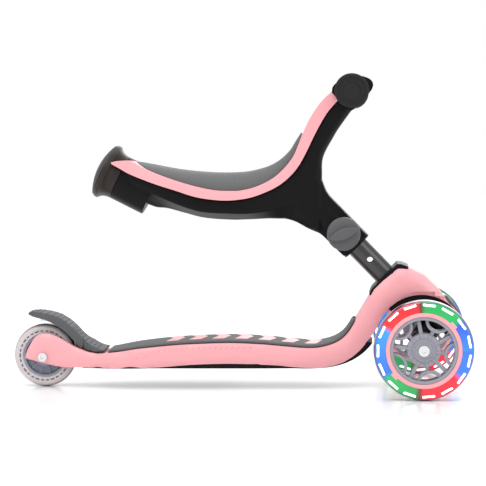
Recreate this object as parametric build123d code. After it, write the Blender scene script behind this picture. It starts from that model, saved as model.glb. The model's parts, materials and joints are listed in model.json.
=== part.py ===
from build123d import *
import math
import os

# A child's three-wheeled lean-to-steer scooter, set up as a low ride-on: a seat frame slides on the
# short steering column and carries the saddle and the handlebar.
# Frame: +X forwards, +Y to the rider's left, +Z up, millimetres. The origin is on the floor, midway
# between the rearmost and the foremost point, on the middle plane.

os.makedirs("parts", exist_ok=True)

# ---- driving dimensions -------------------------------------------------------------------------
FRONT_RADIUS = 60.5          # front wheel, 121 mm across
REAR_RADIUS = 40.0           # rear wheel, 80 mm across
WHEEL_WIDTH = 24.0
WHEELBASE = 476.5
TRACK = 256.0                # between the middles of the front wheels
COLUMN_LEAN = 44.0           # degrees back from upright
COLUMN_RADIUS = 14.3
COLUMN_WALL = 2.0
COLUMN_TOP = 102.0           # along the column, from the head's mouth
COLUMN_SUNK = 48.0           # how far the column goes into the head
HOLE_PITCH = 47.0            # between the two seat heights
SLEEVE_START = 52.6          # the seat frame's lower end, along the column from the mouth
PIN_HEIGHT = 76.0            # the lock pin, along the column from the mouth
DECK_HALF = 48.0             # half width of the deck at its widest
MAT_HALF = 39.0
MAT_SUNK = 3.2               # how deep the mat sits in the deck
MAT_LIFT = 4.0               # how far it stands above the deck's rim
SADDLE_HALF = 46.0
BAR_HALF = 118.0             # half length of the handlebar tube
AXLE_RADIUS = 4.0
BEARING_RADIUS = 11.0
BEARING_WIDTH = 7.0
RUNNING = 0.05               # radial clearance of a turning fit
KINGPIN_SLOPE = 50.0         # degrees of the steering axis above the floor, rising forwards
KINGPIN_RADIUS = 5.0
ARCH_RADIUS = 57.0
FORK_INNER = 17.2
FORK_OUTER = 27.0
UNDER_FLAT = 27.5            # height of the undertray's flat bottom

FRONT_X = (WHEELBASE + REAR_RADIUS - FRONT_RADIUS) / 2
REAR_X = FRONT_X - WHEELBASE
FRONT_AXLE = (FRONT_X, FRONT_RADIUS)
REAR_AXLE = (REAR_X, REAR_RADIUS)
MOUTH = (184.5, 139.5)       # middle of the head's mouth, in X and Z
GRIP_AXIS = (143.0, 371.0)
SOCKET_RIM = (-167.5, 273.5)
SOCKET_ANGLE = 153.0         # the socket's mouth looks up and back
SOCKET_RADIUS = 28.5
PLUG_DEPTH = 31.0            # how far the plug reaches into the socket
PLUG_RADIUS = 20.0
SKIRT = 19.0                 # the plug's flared skirt, along the socket
KEEL_HALF = 17.0             # half width of the frame under the saddle
BUSH_WALL = 2.2              # of the bush between the column and the sleeve
BRAKE_PIVOT = (-184.0, 39.0)
BUTTON_AT = (266.0, 104.0)
BUTTON_ANGLE = 38.4
COLUMN_ANGLE = 90 + COLUMN_LEAN


# ---- helpers ------------------------------------------------------------------------------------
def save(shapes, node):
    """Write one node from a shape or a list of shapes that stay separate solids."""
    if not isinstance(shapes, list):
        shapes = [shapes]
    solids = [solid for shape in shapes for solid in shape.solids()]
    export_step(Compound(solids), f"parts/{node}.step")


def side_face(*edges):
    """A face in the XZ plane from edges drawn in X and Z."""
    return Plane.XZ * make_face(Wire(edges))


def side_polygon(*points):
    return Plane.XZ * make_face(Polyline(*points, close=True))


def slab(face, half):
    """A side face thickened to both sides of the middle plane."""
    return extrude(face, amount=half, both=True)


def along(origin, angle):
    """A plane whose normal lies in the XZ plane, at an angle above +X; its own X is +Y."""
    a = math.radians(angle)
    return Plane(origin=(origin[0], 0, origin[1]), x_dir=(0, 1, 0), z_dir=(math.cos(a), 0, math.sin(a)))


def rod(origin, angle, start, end, radius):
    """A cylinder along a line in the XZ plane."""
    return along(origin, angle) * Pos(0, 0, (start + end) / 2) * Cylinder(radius, end - start)


def cross_rod(centre, y_from, y_to, radius):
    """A cylinder along Y."""
    place = Pos(centre[0], (y_from + y_to) / 2, centre[1]) * Rot(90, 0, 0)
    return place * Cylinder(radius, y_to - y_from)


def hex_bar(centre, y_from, y_to, radius):
    """A six-sided bar along Y."""
    place = Plane(origin=(centre[0], y_from, centre[1]), z_dir=(0, 1, 0))
    return extrude(place * RegularPolygon(radius, 6), y_to - y_from)


def block(x_from, x_to, y_from, y_to, z_from, z_to):
    centre = Pos((x_from + x_to) / 2, (y_from + y_to) / 2, (z_from + z_to) / 2)
    return centre * Box(x_to - x_from, y_to - y_from, z_to - z_from)


def both_sides(shape):
    return [shape, mirror(shape, Plane.XZ)]


def plan_solid(stations):
    """The space inside a smooth outline seen from above, mirrored about the middle plane."""
    right = Spline([(x, -w) for x, w in stations])
    left = Spline([(x, w) for x, w in stations])
    rear = Line(left @ 0, right @ 0)
    front = Line(right @ 1, left @ 1)
    return extrude(make_face(Wire([right, front, left, rear])), amount=400, both=True)


def point_along(origin, angle, distance):
    a = math.radians(angle)
    return (origin[0] + distance * math.cos(a), origin[1] + distance * math.sin(a))


def coil(radius, wire, turns, pitch):
    """A round-wire spring about Z, from 0 upwards."""
    path = Helix(pitch, pitch * turns, radius)
    return sweep(Plane(origin=path @ 0, z_dir=path % 0) * Circle(wire), path)


# ---- deck shell: deck, rear fork, riser and head in one moulding ------------------------------
deck_stations = [(-290, 25), (-240, 26), (-212, FORK_OUTER), (-186, 32), (-150, 42), (-105, 47),
                 (-20, DECK_HALF), (70, 46), (125, 40), (165, 36), (220, 35), (290, 34)]
deck_plan = plan_solid(deck_stations)
inner_plan = plan_solid([(x, w - 4) for x, w in deck_stations])
deck_rim = [(-178, 44.0), (-157, 46.2), (-128, 51.0), (-83, 55.8), (-38, 58.2), (-6, 58.7), (30, 57.0),
            (60, 54.3), (86, 52.3), (104, 53.3), (123, 59.5), (136, 70.0), (147, 87.0)]
belly = [(164, 64.6), (150, 47.8), (133, 35.5), (112, 28.6), (92, 27.6), (50, 30.6), (0, 33.4),
         (-50, 32.6), (-100, 28.8), (-145, 27.0), (-190, 26.6), (-222, 26.7), (-246, 31.0), (-270, 38.0)]


def deck_outline():
    arch_front = point_along(FRONT_AXLE, 38, ARCH_RADIUS)
    arch_top = point_along(FRONT_AXLE, 95, ARCH_RADIUS)
    arch_rear = point_along(FRONT_AXLE, 162, ARCH_RADIUS)
    arm_top = Spline([(-272, 41.5), (-267, 51.6), (-257, 66.0), (-245, 69.0), (-230, 64.6), (-210, 53.2),
                      (-194, 47.0), (-178, 44.0)])
    rim = Spline(deck_rim)
    riser = Line(rim @ 1, (169.5, 124.8))
    mouth = Line((169.5, 124.8), (199.3, 153.8))
    brow = Spline([(199.3, 153.8), (211, 153.0), (230, 144.2), (247, 129.5), (259, 115.5), arch_front])
    arch = ThreePointArc(arch_front, arch_top, arch_rear)
    under = Spline([arch_rear] + belly)
    tip = Line(under @ 1, arm_top @ 0)
    return side_face(arm_top, rim, riser, mouth, brow, arch, under, tip)


def rim_strip(x_from, x_to, lift, drop):
    """The strip along the deck's rim, from lift above it to drop below it."""
    rim = Spline(deck_rim)
    points = [rim @ (n / 16) for n in range(17)]
    points = [(p.X, p.Y) for p in points if x_from <= p.X <= x_to]
    top = Spline([(x, z + lift) for x, z in points])
    under = Spline([(x, z - drop) for x, z in points])
    return side_face(top, Line(top @ 1, under @ 1), under, Line(under @ 0, top @ 0))


tray_top = [(-198, 31.0), (-150, 31.6), (-100, 33), (-40, 34.5), (20, 34.5), (70, 32.5), (105, 32.5),
            (131, 38), (150, 49), (160, 60)]
tray_rear = Line((-198, 31.0), (-198, 25.6))
tray_flat = Line((-110, UNDER_FLAT), (70, UNDER_FLAT))
tray_tail = Spline([(-198, 25.6), (-150, 26.4), (-110, UNDER_FLAT)])
tray_nose = Spline([(70, UNDER_FLAT), (108, 27.8), (133, 33.0), (154, 44.5), (167, 58)])
tray_upper = Spline(tray_top)
tray_face = side_face(tray_rear, tray_tail, tray_flat, tray_nose, Line((167, 58), tray_upper @ 1), tray_upper)
tray_plan = plan_solid([(x, w - 3.5) for x, w in deck_stations])
undertray = slab(tray_face, 60) & tray_plan

housing_points = [(171.5, 124.0), (199.0, 150.5), (211, 149.5), (230, 140.0), (247, 125), (262, 105),
                  (270, 88), (259, 66.5), (228.5, 92.0), (214, 85), (200, 88), (182, 104)]
housing_half = 25.0
housing_block = slab(side_polygon(*housing_points), housing_half)
column_bore = rod(MOUTH, COLUMN_ANGLE, -COLUMN_SUNK, 40, COLUMN_RADIUS)
button_pocket = along(BUTTON_AT, BUTTON_ANGLE) * Pos(0, 0, 5) * Box(22.8, 26.8, 30)
button_well = rod(BUTTON_AT, BUTTON_ANGLE, -15, -9, 4)

mat_plan = plan_solid([(-166, 29), (-140, 36), (-100, MAT_HALF), (-20, MAT_HALF), (70, 38), (125, 33),
                       (150, 28)])
mat_seat = slab(rim_strip(-165, 146, 12, MAT_SUNK), 60) & mat_plan

cavity_face = side_face(
    Spline([(-160, 42.0), (-128, 44.5), (-83, 49.0), (-38, 51.5), (-6, 52.0), (30, 50.5), (60, 47.8),
            (86, 45.8), (104, 46.5), (118, 50.0), (126, 55)]),
    Line((126, 55), (126, 34)), Line((126, 34), (-160, 30)), Line((-160, 30), (-160, 42.0)))
cavity = slab(cavity_face, 60) & inner_plan
RIB_X = [-112, -52, 8, 68]
screw_spots = [(x, side * 24) for x in (-140, -22, 98) for side in (-1, 1)]
for x in RIB_X:
    cavity -= block(x - 1.5, x + 1.5, -60, 60, 20, 80)
for x, y in screw_spots:
    cavity -= Pos(x, y, 40) * Cylinder(5, 60)
screw_holes = [Pos(x, y, 34) * Cylinder(1.6, 14) for x, y in screw_spots]

WHEEL_SLOT_RADIUS = 44.0
wheel_slot = cross_rod(REAR_AXLE, -FORK_INNER, FORK_INNER, WHEEL_SLOT_RADIUS)
wheel_slot += block(-300, REAR_X, -FORK_INNER, FORK_INNER, 0, 90)
brake_recess = block(REAR_X, -173, -FORK_INNER, FORK_INNER, 31.5, 90)

deck = slab(deck_outline(), 60) & deck_plan
deck = deck - undertray - cavity - mat_seat - wheel_slot - brake_recess
deck = deck - housing_block - column_bore - button_pocket
deck -= cross_rod(REAR_AXLE, -40, 40, AXLE_RADIUS)
deck -= cross_rod(BRAKE_PIVOT, -24, 24, 2.5)
for hole in screw_holes:
    deck -= hole
save(deck, "deck_shell")

for hole in screw_holes:
    undertray -= hole
for x, y in screw_spots:
    undertray -= Pos(x, y, 22) * Cylinder(3.6, 14)
save(undertray, "undertray")

tray_screws = []
for x, y in screw_spots:
    screw = Pos(x, y, 34) * Cylinder(1.6, 14) + Pos(x, y, 28.2) * Cylinder(3.4, 1.6)
    tray_screws.append(screw - Pos(x, y, 27.6) * Cylinder(1.3, 1.2))
save(tray_screws, "undertray_screws")

mat = slab(rim_strip(-165, 146, MAT_LIFT, MAT_SUNK), 60) & mat_plan
chevron = make_face(Polyline((0, -20), (10, 0), (0, 20), (9, 20), (19, 0), (9, -20), close=True))
chevrons = [Pos(-92 + 29 * n, 0, 0) * extrude(chevron, amount=120, both=True) for n in range(7)]
inlay_layer = slab(rim_strip(-165, 146, MAT_LIFT + 0.4, 1.2 - MAT_LIFT), 60)
inlays = [bar & inlay_layer for bar in chevrons]
for inlay in inlays:
    mat -= inlay
save(mat, "deck_mat")
save(inlays, "deck_mat_inlay")

# ---- head: housing, collar, column --------------------------------------------------------------
housing = housing_block - column_bore - button_pocket - button_well
kingpin = rod(FRONT_AXLE, KINGPIN_SLOPE, -12, 40, KINGPIN_RADIUS)
kingpin += rod(FRONT_AXLE, KINGPIN_SLOPE, -16, -12, 8.5)
housing -= rod(FRONT_AXLE, KINGPIN_SLOPE, 10, 40, KINGPIN_RADIUS)
column_bolt_at = point_along(MOUTH, COLUMN_ANGLE, -26)
column_bolt_hole = cross_rod(column_bolt_at, -housing_half, housing_half, 3)
bolt_pockets = both_sides(cross_rod(column_bolt_at, 20, housing_half, 6))
housing -= column_bolt_hole
for pocket in bolt_pockets:
    housing -= pocket
save(kingpin, "kingpin")

collar_points = [(166.2, 117.0), (163.2, 117.8), (166.4, 124.6), (169.3, 128.3), (198.3, 156.6),
                 (203.6, 156.2), (212.3, 152.6), (211.3, 150.0), (204, 153.0), (199.3, 153.0),
                 (170.2, 124.8)]
collar = slab(side_polygon(*collar_points), 29)
collar = fillet(collar.edges().filter_by(Axis.Y).group_by(Axis.X)[0], 0.6)
collar = collar - rod(MOUTH, COLUMN_ANGLE, -10, 20, COLUMN_RADIUS) - slab(deck_outline(), 60)
save(collar, "head_collar")

column = rod(MOUTH, COLUMN_ANGLE, -COLUMN_SUNK, COLUMN_TOP, COLUMN_RADIUS)
column -= rod(MOUTH, COLUMN_ANGLE, -COLUMN_SUNK, COLUMN_TOP, COLUMN_RADIUS - COLUMN_WALL)
PIN_AT = point_along(MOUTH, COLUMN_ANGLE, PIN_HEIGHT)
LOWER_HOLE = point_along(MOUTH, COLUMN_ANGLE, PIN_HEIGHT - HOLE_PITCH)
for spot in (PIN_AT, LOWER_HOLE):
    column -= cross_rod(spot, -20, 20, 4)
column -= cross_rod(column_bolt_at, -20, 20, 3)
save(column, "column_tube")

column_bolt = cross_rod(column_bolt_at, -20, 20, 3) + cross_rod(column_bolt_at, -24, -20, 5)
save(column_bolt, "column_bolt")
save(hex_bar(column_bolt_at, 20, 24, 5), "column_nut")

spring_plane = along(point_along(FRONT_AXLE, KINGPIN_SLOPE, 25.5), KINGPIN_SLOPE)
steering_spring = spring_plane * coil(10, 1.25, 4, 3.4)
housing -= rod(FRONT_AXLE, KINGPIN_SLOPE, 20, 43, 12) - rod(FRONT_AXLE, KINGPIN_SLOPE, 19, 44, 8)
save(housing, "head_housing")
save(steering_spring, "steering_spring")

button = Pos(0, 0, -1.5) * Box(22, 26, 8)
button = along(BUTTON_AT, BUTTON_ANGLE) * fillet(button.edges().group_by(Axis.Z)[-1], 1.5)
button -= rod(BUTTON_AT, BUTTON_ANGLE, -6, -3, 4)
save(button, "steering_lock_button")
button_spring = along(point_along(BUTTON_AT, BUTTON_ANGLE, -14.4), BUTTON_ANGLE) * coil(3, 0.5, 5, 2)
save(button_spring, "lock_button_spring")

# ---- truck and front wheels ---------------------------------------------------------------------
ARM_END = TRACK / 2 - 17.0
HALF = WHEEL_WIDTH / 2
HUB_HALF = 10.0              # half width of a wheel's hub over its bearings
hub = rod(FRONT_AXLE, KINGPIN_SLOPE, -11.5, 23.5, 15)
arm_core = cross_rod(FRONT_AXLE, -ARM_END, ARM_END, 11)
truck = hub + arm_core
for shoulder in both_sides(cross_rod(FRONT_AXLE, 20, 34, 14)):
    truck += shoulder
BUSH_RADIUS = KINGPIN_RADIUS + 2
truck -= rod(FRONT_AXLE, KINGPIN_SLOPE, -12, 24, BUSH_RADIUS)
AXLE_START = 40.0
for hole in both_sides(cross_rod(FRONT_AXLE, AXLE_START, 200, AXLE_RADIUS)):
    truck -= hole
save(truck, "truck_beam")


def kingpin_bush(start, end):
    tube = rod(FRONT_AXLE, KINGPIN_SLOPE, start, end, BUSH_RADIUS)
    return tube - rod(FRONT_AXLE, KINGPIN_SLOPE, start - 1, end + 1, KINGPIN_RADIUS + RUNNING)


save([kingpin_bush(-11.5, 1), kingpin_bush(11, 23.5)], "kingpin_bushes")

wheel_mid = TRACK / 2
axle_end = wheel_mid + HUB_HALF + 0.8
front_bolt = cross_rod(FRONT_AXLE, AXLE_START, axle_end, AXLE_RADIUS)
front_bolt += cross_rod(FRONT_AXLE, axle_end, axle_end + 3, 6.5)
front_bolt -= hex_bar((FRONT_X, FRONT_RADIUS), axle_end + 0.4, axle_end + 3, 2.6)
save(both_sides(front_bolt), "front_axle_bolts")

washer = cross_rod(FRONT_AXLE, ARM_END, wheel_mid - HUB_HALF, 7)
washer -= cross_rod(FRONT_AXLE, 0, 200, AXLE_RADIUS)
outer_washer = cross_rod(FRONT_AXLE, wheel_mid + HUB_HALF, axle_end, 6.5)
outer_washer -= cross_rod(FRONT_AXLE, 0, 200, AXLE_RADIUS)
save(both_sides(washer) + both_sides(outer_washer), "front_axle_washers")

magnet_half = HUB_HALF - BEARING_WIDTH
magnet = cross_rod(FRONT_AXLE, wheel_mid - magnet_half, wheel_mid + magnet_half, 6.5)
magnet -= cross_rod(FRONT_AXLE, 0, 200, AXLE_RADIUS + RUNNING)
save(both_sides(magnet), "axle_magnets")

RIM_OUTER = 45.4
RING_INNER = 40.7
LIGHTS = 15
LIGHT_STEP = 360 / LIGHTS


def ring(radius, bore, half):
    """A ring about Y, on the origin."""
    return Rot(90, 0, 0) * (Cylinder(radius, 2 * half) - Cylinder(bore, 2 * half + 1))


def light_bar():
    bar = extrude(SlotOverall(17.7, 5.0), amount=WHEEL_WIDTH / 2 - 3, both=True)
    return Rot(90, 0, 0) * Pos(0, 54.6, 0) * bar


def round_tyre(bore, shoulder, tread):
    """A tyre about Y, on the origin, with flat sides and a rounded tread."""
    profile = Plane.XZ * make_face(Wire([
        Line((bore, -HALF), (shoulder, -HALF)),
        ThreePointArc((shoulder, -HALF), (tread, 0), (shoulder, HALF)),
        Line((shoulder, HALF), (bore, HALF)), Line((bore, HALF), (bore, -HALF))]))
    return Rot(90, 0, 0) * revolve(profile, Axis.Z)


def front_tyre():
    tyre = round_tyre(RIM_OUTER, 56.5, FRONT_RADIUS)
    for n in range(LIGHTS):
        tyre -= Rot(0, LIGHT_STEP * n, 0) * light_bar()
    return tyre


def bearing_pair():
    one = ring(BEARING_RADIUS, AXLE_RADIUS + RUNNING, BEARING_WIDTH / 2)
    offset = HUB_HALF - BEARING_WIDTH / 2
    return [Pos(0, offset, 0) * one, Pos(0, -offset, 0) * one]


def front_core():
    core = ring(RING_INNER, 36.8, HALF - 1)
    core += ring(20, 6, 7.5)
    core += ring(13.5, 6, HUB_HALF)
    for n in range(5):
        straight = Pos(28, 0, 0) * Box(20, 14, 4.5)
        core += Rot(0, 100 + 72 * n, 0) * straight
        cup = Pos(40.5, 0, 0) * ring(15.5, 12.0, 7)
        cup &= ring(38, 18, 8)
        core += Rot(0, 64 + 72 * n, 0) * cup
        core += Rot(0, 64 + 72 * n, 0) * Pos(22, 0, 0) * Box(9, 14, 4.5)
    for side in (-1, 1):
        core -= Pos(0, side * (HUB_HALF - BEARING_WIDTH / 2 + 1), 0) * Rot(90, 0, 0) * Cylinder(
            BEARING_RADIUS, BEARING_WIDTH + 2)
    return core - Rot(90, 0, 0) * Cylinder(8.5, 60)


core = front_core()
tyre = front_tyre()
trim_ring = ring(RIM_OUTER, RING_INNER, HALF + 0.4)
bars = [Rot(0, LIGHT_STEP * n, 0) * light_bar() for n in range(LIGHTS)]
for name, y in (("right", -wheel_mid), ("left", wheel_mid)):
    place = Pos(FRONT_X, y, FRONT_RADIUS)
    save(place * tyre, f"front_tyre_{name}")
    save([place * bar for bar in bars], f"tyre_lights_{name}")
    save(place * trim_ring, f"wheel_trim_{name}")
    save(place * core, f"front_core_{name}")
    save([place * bearing for bearing in bearing_pair()], f"front_bearings_{name}")

# ---- rear wheel ---------------------------------------------------------------------------------
REAR_CORE = 27.0
rear_place = Pos(REAR_X, 0, REAR_RADIUS)
rear_core = ring(REAR_CORE, 8.5, HALF - 1) + ring(14, 8.5, HUB_HALF)
for side in (-1, 1):
    rear_core -= Pos(0, side * (HUB_HALF - BEARING_WIDTH / 2 + 1), 0) * Rot(90, 0, 0) * Cylinder(
        BEARING_RADIUS, BEARING_WIDTH + 2)
save(rear_place * round_tyre(REAR_CORE, 33, REAR_RADIUS), "rear_tyre")
save(rear_place * rear_core, "rear_core")
save([rear_place * bearing for bearing in bearing_pair()], "rear_bearings")
sleeve = ring(6.5, AXLE_RADIUS, HUB_HALF - BEARING_WIDTH)
side_spacer = Pos(0, (HUB_HALF + FORK_INNER) / 2, 0) * ring(6.5, AXLE_RADIUS, (FORK_INNER - HUB_HALF) / 2)
save([rear_place * piece for piece in [sleeve] + both_sides(side_spacer)], "rear_axle_spacers")
rear_bolt = cross_rod(REAR_AXLE, -29, 31, AXLE_RADIUS) + cross_rod(REAR_AXLE, -31.5, -26.4, 5.6)
rear_bolt -= hex_bar(REAR_AXLE, -31.5, -28.9, 2.6)
save(rear_bolt, "rear_axle_bolt")
save(hex_bar(REAR_AXLE, 26.4, 31.4, 6.5) - cross_rod(REAR_AXLE, 0, 60, AXLE_RADIUS), "rear_axle_nut")

# ---- brake --------------------------------------------------------------------------------------
brake_top = Spline([(-268.5, 94.4), (-266, 96.0), (-259.8, 96.4), (-252, 95.9), (-241.2, 94.0),
                    (-231.4, 91.0), (-225.5, 87.8), (-218.7, 83.4), (-210.9, 76.6), (-206.1, 71.5),
                    (-201.3, 66.6), (-195.4, 61.7), (-188.6, 57.0), (-181.8, 52.8), (-175, 50.0),
                    (-170.2, 49.2)])
brake_under = Spline([(-188, 44.6), (-197, 47.6), (-206, 55.6), (-214.8, 65.4), (-222.5, 72.6),
                      (-232.2, 79.1), (-240, 83.4), (-248.7, 86.9), (-256.4, 88.6), (-262.3, 90.2),
                      (-266.9, 92.2)])
brake_face = side_face(brake_top, Line((-170.2, 49.2), (-170.2, 46.8)), Line((-170.2, 46.8), (-188, 44.6)),
                       brake_under, Line((-266.9, 92.2), (-268.5, 94.4)))
brake_foot = side_polygon((-198, 50.4), (-190, 47.9), (-182, 46.2), (-169, 46.6), (-169, 60), (-198, 80))
BRAKE_SLIM = 16.6
brake = slab(brake_face, BRAKE_SLIM) + (slab(brake_face, 21.5) & block(-300, -100, -30, 30, 59, 120))
brake += slab(brake_face, 28) & slab(brake_foot, 30)
brake += cross_rod(BRAKE_PIVOT, -BRAKE_SLIM, BRAKE_SLIM, 6)
brake += block(-190, -178, -BRAKE_SLIM, BRAKE_SLIM, 39, 49)
LINER_OUTER = 45.6
LINER_INNER = 43.2
brake -= cross_rod(REAR_AXLE, -13.6, 13.6, LINER_OUTER)
brake -= cross_rod(BRAKE_PIVOT, -6.5, 6.5, 8)
brake -= cross_rod(BRAKE_PIVOT, -30, 30, 2.5 + RUNNING)
save(brake, "brake_fender")
liner = cross_rod(REAR_AXLE, -10, 10, LINER_OUTER) - cross_rod(REAR_AXLE, -11, 11, LINER_INNER)
liner &= slab(side_polygon(REAR_AXLE, point_along(REAR_AXLE, 62, 80), point_along(REAR_AXLE, 98, 80)), 20)
save(liner, "brake_liner")
save(cross_rod(BRAKE_PIVOT, -24, 24, 2.5), "brake_hinge_pin")
brake_spring = Pos(BRAKE_PIVOT[0], 5.4, BRAKE_PIVOT[1]) * Rot(90, 0, 0) * coil(4.3, 0.9, 5, 2.1)
save(brake_spring, "brake_spring")

# ---- seat frame ---------------------------------------------------------------------------------
# The frame's moulding: a keel under the saddle, the sleeve on the column, the front arm up to the
# handlebar and the socket at the rear, split down the middle plane into two halves.
trim_under = [(-157.5, 282.6), (-149.1, 278.2), (-137.2, 271.6), (-119.4, 264.2), (-100.4, 257.3),
              (-76.2, 249.6), (-52.4, 241.9), (-28.6, 238.0), (-8.7, 237.2), (15.6, 240.3), (33.4, 246.2),
              (51.3, 254.9), (64.8, 265.8), (75.4, 278.3), (84.6, 294.3), (95.2, 316.0), (104.5, 333.2),
              (112.9, 346.4), (125.6, 360.7)]
trim_over = [(-159, 284.8), (-152, 286.4), (-139.5, 286.9), (-131.1, 285.9), (-125.2, 283.2), (-114.5, 276.8),
             (-100.2, 270.6), (-76, 262.0), (-52.3, 255.0), (-28.5, 250.0), (-8.6, 248.9), (3.8, 249.3),
             (23.5, 254.0), (43.4, 263.8), (57.3, 275.7), (69.2, 290.9), (75.2, 304.1), (80.3, 317.0),
             (89.8, 337.4), (100, 353.1), (108.5, 363.2), (118.2, 371.6)]
frame_front = [(141.5, 347.2), (134.1, 338.6), (128.4, 329.6), (122.2, 320.5), (114.1, 305.4), (107, 291.4),
               (103.6, 279.6), (103.9, 267.6), (107.9, 253.6), (117.8, 237.6), (131.6, 222.5), (148, 204.7)]
frame_belly = [(124, 172.5), (113.3, 183.8), (102.9, 192.5), (89.4, 200.6), (71.7, 208.9), (51.8, 212.6),
               (31.7, 213.1), (1.6, 211.5), (-30, 212.4), (-61.4, 218.6), (-79.5, 223.5), (-91.5, 226.6),
               (-104, 228.1), (-113, 229.5), (-126, 238), (-140, 252)]
lip = [(-146, 266), (-128.7, 253.2), (-98.7, 241.1), (-68.6, 230.9), (-38.7, 222.8), (-8.7, 220.2),
       (14.8, 221.5), (40, 228.5), (62.1, 238), (80, 258), (95, 290), (107, 315), (118, 335)]
hub_face = side_face(
    Spline([(118.6, 371.8), (119.5, 377.0), (124, 382.0), (133.8, 389.6), (146, 391.2), (157.7, 389.4),
            (166.0, 385.4), (169.1, 379.3), (166.5, 372.5), (158, 362), (148.8, 351.9), (141.5, 347.2)]),
    Line((141.5, 347.2), (126.2, 361.0)), Line((126.2, 361.0), (118.6, 371.8)))
saddle_plan = plan_solid([(-175, 30), (-150, 34), (-125, 41), (-90, 46), (-40, SADDLE_HALF), (0, 45),
                          (40, 36), (70, 27), (100, 22.5), (130, 22), (160, 22)])
under_plan = plan_solid([(-175, 24), (-150, 28), (-125, 34), (-90, 38), (-40, 38), (0, 37), (40, 29),
                         (70, 22), (100, 19), (130, 19), (160, 19)])

outer_edge = Spline(trim_under)
keel_face = side_face(
    outer_edge, Line(trim_under[-1], frame_front[0]), Spline(frame_front),
    Line(frame_front[-1], frame_belly[0]), Spline(frame_belly), Line(frame_belly[-1], trim_under[0]))
tray_flare = side_face(outer_edge, Line(trim_under[-1], lip[-1]), Spline(list(reversed(lip))),
                       Line(lip[0], trim_under[0]))
keel = slab(keel_face, KEEL_HALF)
flare = slab(tray_flare, 60) & under_plan
sleeve_outer = rod(MOUTH, COLUMN_ANGLE, SLEEVE_START, 112, 20)
boss = cross_rod(PIN_AT, -24, -15, 15)
socket_outer = rod(SOCKET_RIM, SOCKET_ANGLE, -64, -SKIRT, SOCKET_RADIUS)
socket_bore = rod(SOCKET_RIM, SOCKET_ANGLE, -PLUG_DEPTH - 4, 5, PLUG_RADIUS)
socket_lining = rod(SOCKET_RIM, SOCKET_ANGLE, -PLUG_DEPTH - 7, -SKIRT, PLUG_RADIUS + 3)

# The plug in the socket: a spigot, a skirt that flares out to a rim, and a domed face.
skirt_line = Spline([(SOCKET_RADIUS, -SKIRT), (28.9, -14), (30.2, -9.5), (32.4, -6.3), (35.5, -3.6)])
skirt_face = make_face(Wire([
    skirt_line, Line((35.5, -3.6), (35.5, 0.6)), Line((35.5, 0.6), (34.3, 1.5)),
    Line((34.3, 1.5), (0, 1.5)), Line((0, 1.5), (0, -SKIRT)),
    Line((0, -SKIRT), (SOCKET_RADIUS, -SKIRT))]))
socket_plane = along(SOCKET_RIM, SOCKET_ANGLE)
plug = socket_plane * revolve(Plane.XZ * skirt_face, Axis.Z)
plug += rod(SOCKET_RIM, SOCKET_ANGLE, -PLUG_DEPTH, -SKIRT, PLUG_RADIUS)
plug += rod(SOCKET_RIM, SOCKET_ANGLE, 0, 20, 33.5) & socket_plane * Pos(0, 0, -61) * Sphere(73)
skirt_room = plug
plug -= rod(SOCKET_RIM, SOCKET_ANGLE, -PLUG_DEPTH, -2, PLUG_RADIUS - 3)
save(plug, "socket_plug")

trim_face = side_face(outer_edge, Line(trim_under[-1], trim_over[-1]), Spline(list(reversed(trim_over))),
                      Line(trim_over[0], trim_under[0]))
trim = (slab(trim_face, 60) & saddle_plan) - skirt_room - socket_lining
save(trim, "saddle_trim")

pad_top = [(-127, 284.9), (-116.7, 283.0), (-98.5, 279.9), (-80.3, 276.1), (-56.1, 273.0),
           (-31.8, 271.0), (-11.5, 270.9), (0.7, 271.1), (19.8, 273.8), (37.9, 278.9), (52, 286.8),
           (64.5, 298.6), (72.1, 310.6), (78.2, 320.5)]
pad_plan = plan_solid([(-150, 24), (-138, 31), (-120, 37), (-90, 41), (-40, 42), (0, 41), (35, 33),
                       (60, 25), (78, 18), (84, 12)])
pad_under = list(reversed(trim_over[4:18]))
pad_face = side_face(Spline(pad_top), Line(pad_top[-1], pad_under[0]), Spline(pad_under),
                     Line(pad_under[-1], pad_top[0]))
pad = (slab(pad_face, 60) & pad_plan) - trim
save(pad, "seat_pad")

frame = keel + flare + sleeve_outer + boss
frame = frame + socket_outer - slab(pad_face, 60) - trim - plug - slab(hub_face, 31)
frame -= rod(MOUTH, COLUMN_ANGLE, SLEEVE_START - 5, COLUMN_TOP + 2, COLUMN_RADIUS + RUNNING + BUSH_WALL)
frame -= rod(MOUTH, COLUMN_ANGLE, SLEEVE_START, COLUMN_TOP + HOLE_PITCH + 3, COLUMN_RADIUS + 0.4)
frame = frame - socket_bore - cross_rod(PIN_AT, -40, 0, 5.5)
frame_screw_spots = [(-97, 247), (-30, 226), (45, 226), (101, 300)]
for spot in frame_screw_spots:
    frame -= cross_rod(spot, -12, 12, 1.6)
    frame -= cross_rod(spot, -60, -12, 3.2)
right_half = frame & block(-300, 300, -100, 0, 0, 500)
left_half = frame & block(-300, 300, 0, 100, 0, 500)
save(right_half, "frame_shell_right")
save(left_half, "frame_shell_left")
frame_screws = []
for spot in frame_screw_spots:
    screw = cross_rod(spot, -12, 12, 1.6) + cross_rod(spot, -14, -12, 3.0)
    frame_screws.append(screw - cross_rod(spot, -14, -12.8, 1.3))
save(frame_screws, "frame_screws")

column_bush = rod(MOUTH, COLUMN_ANGLE, SLEEVE_START + 0.5, COLUMN_TOP, COLUMN_RADIUS + RUNNING + BUSH_WALL)
column_bush -= rod(MOUTH, COLUMN_ANGLE, SLEEVE_START, COLUMN_TOP + 1, COLUMN_RADIUS + RUNNING)
column_bush -= cross_rod(PIN_AT, -40, 0, 5.5)
save(column_bush, "column_bush")

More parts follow.
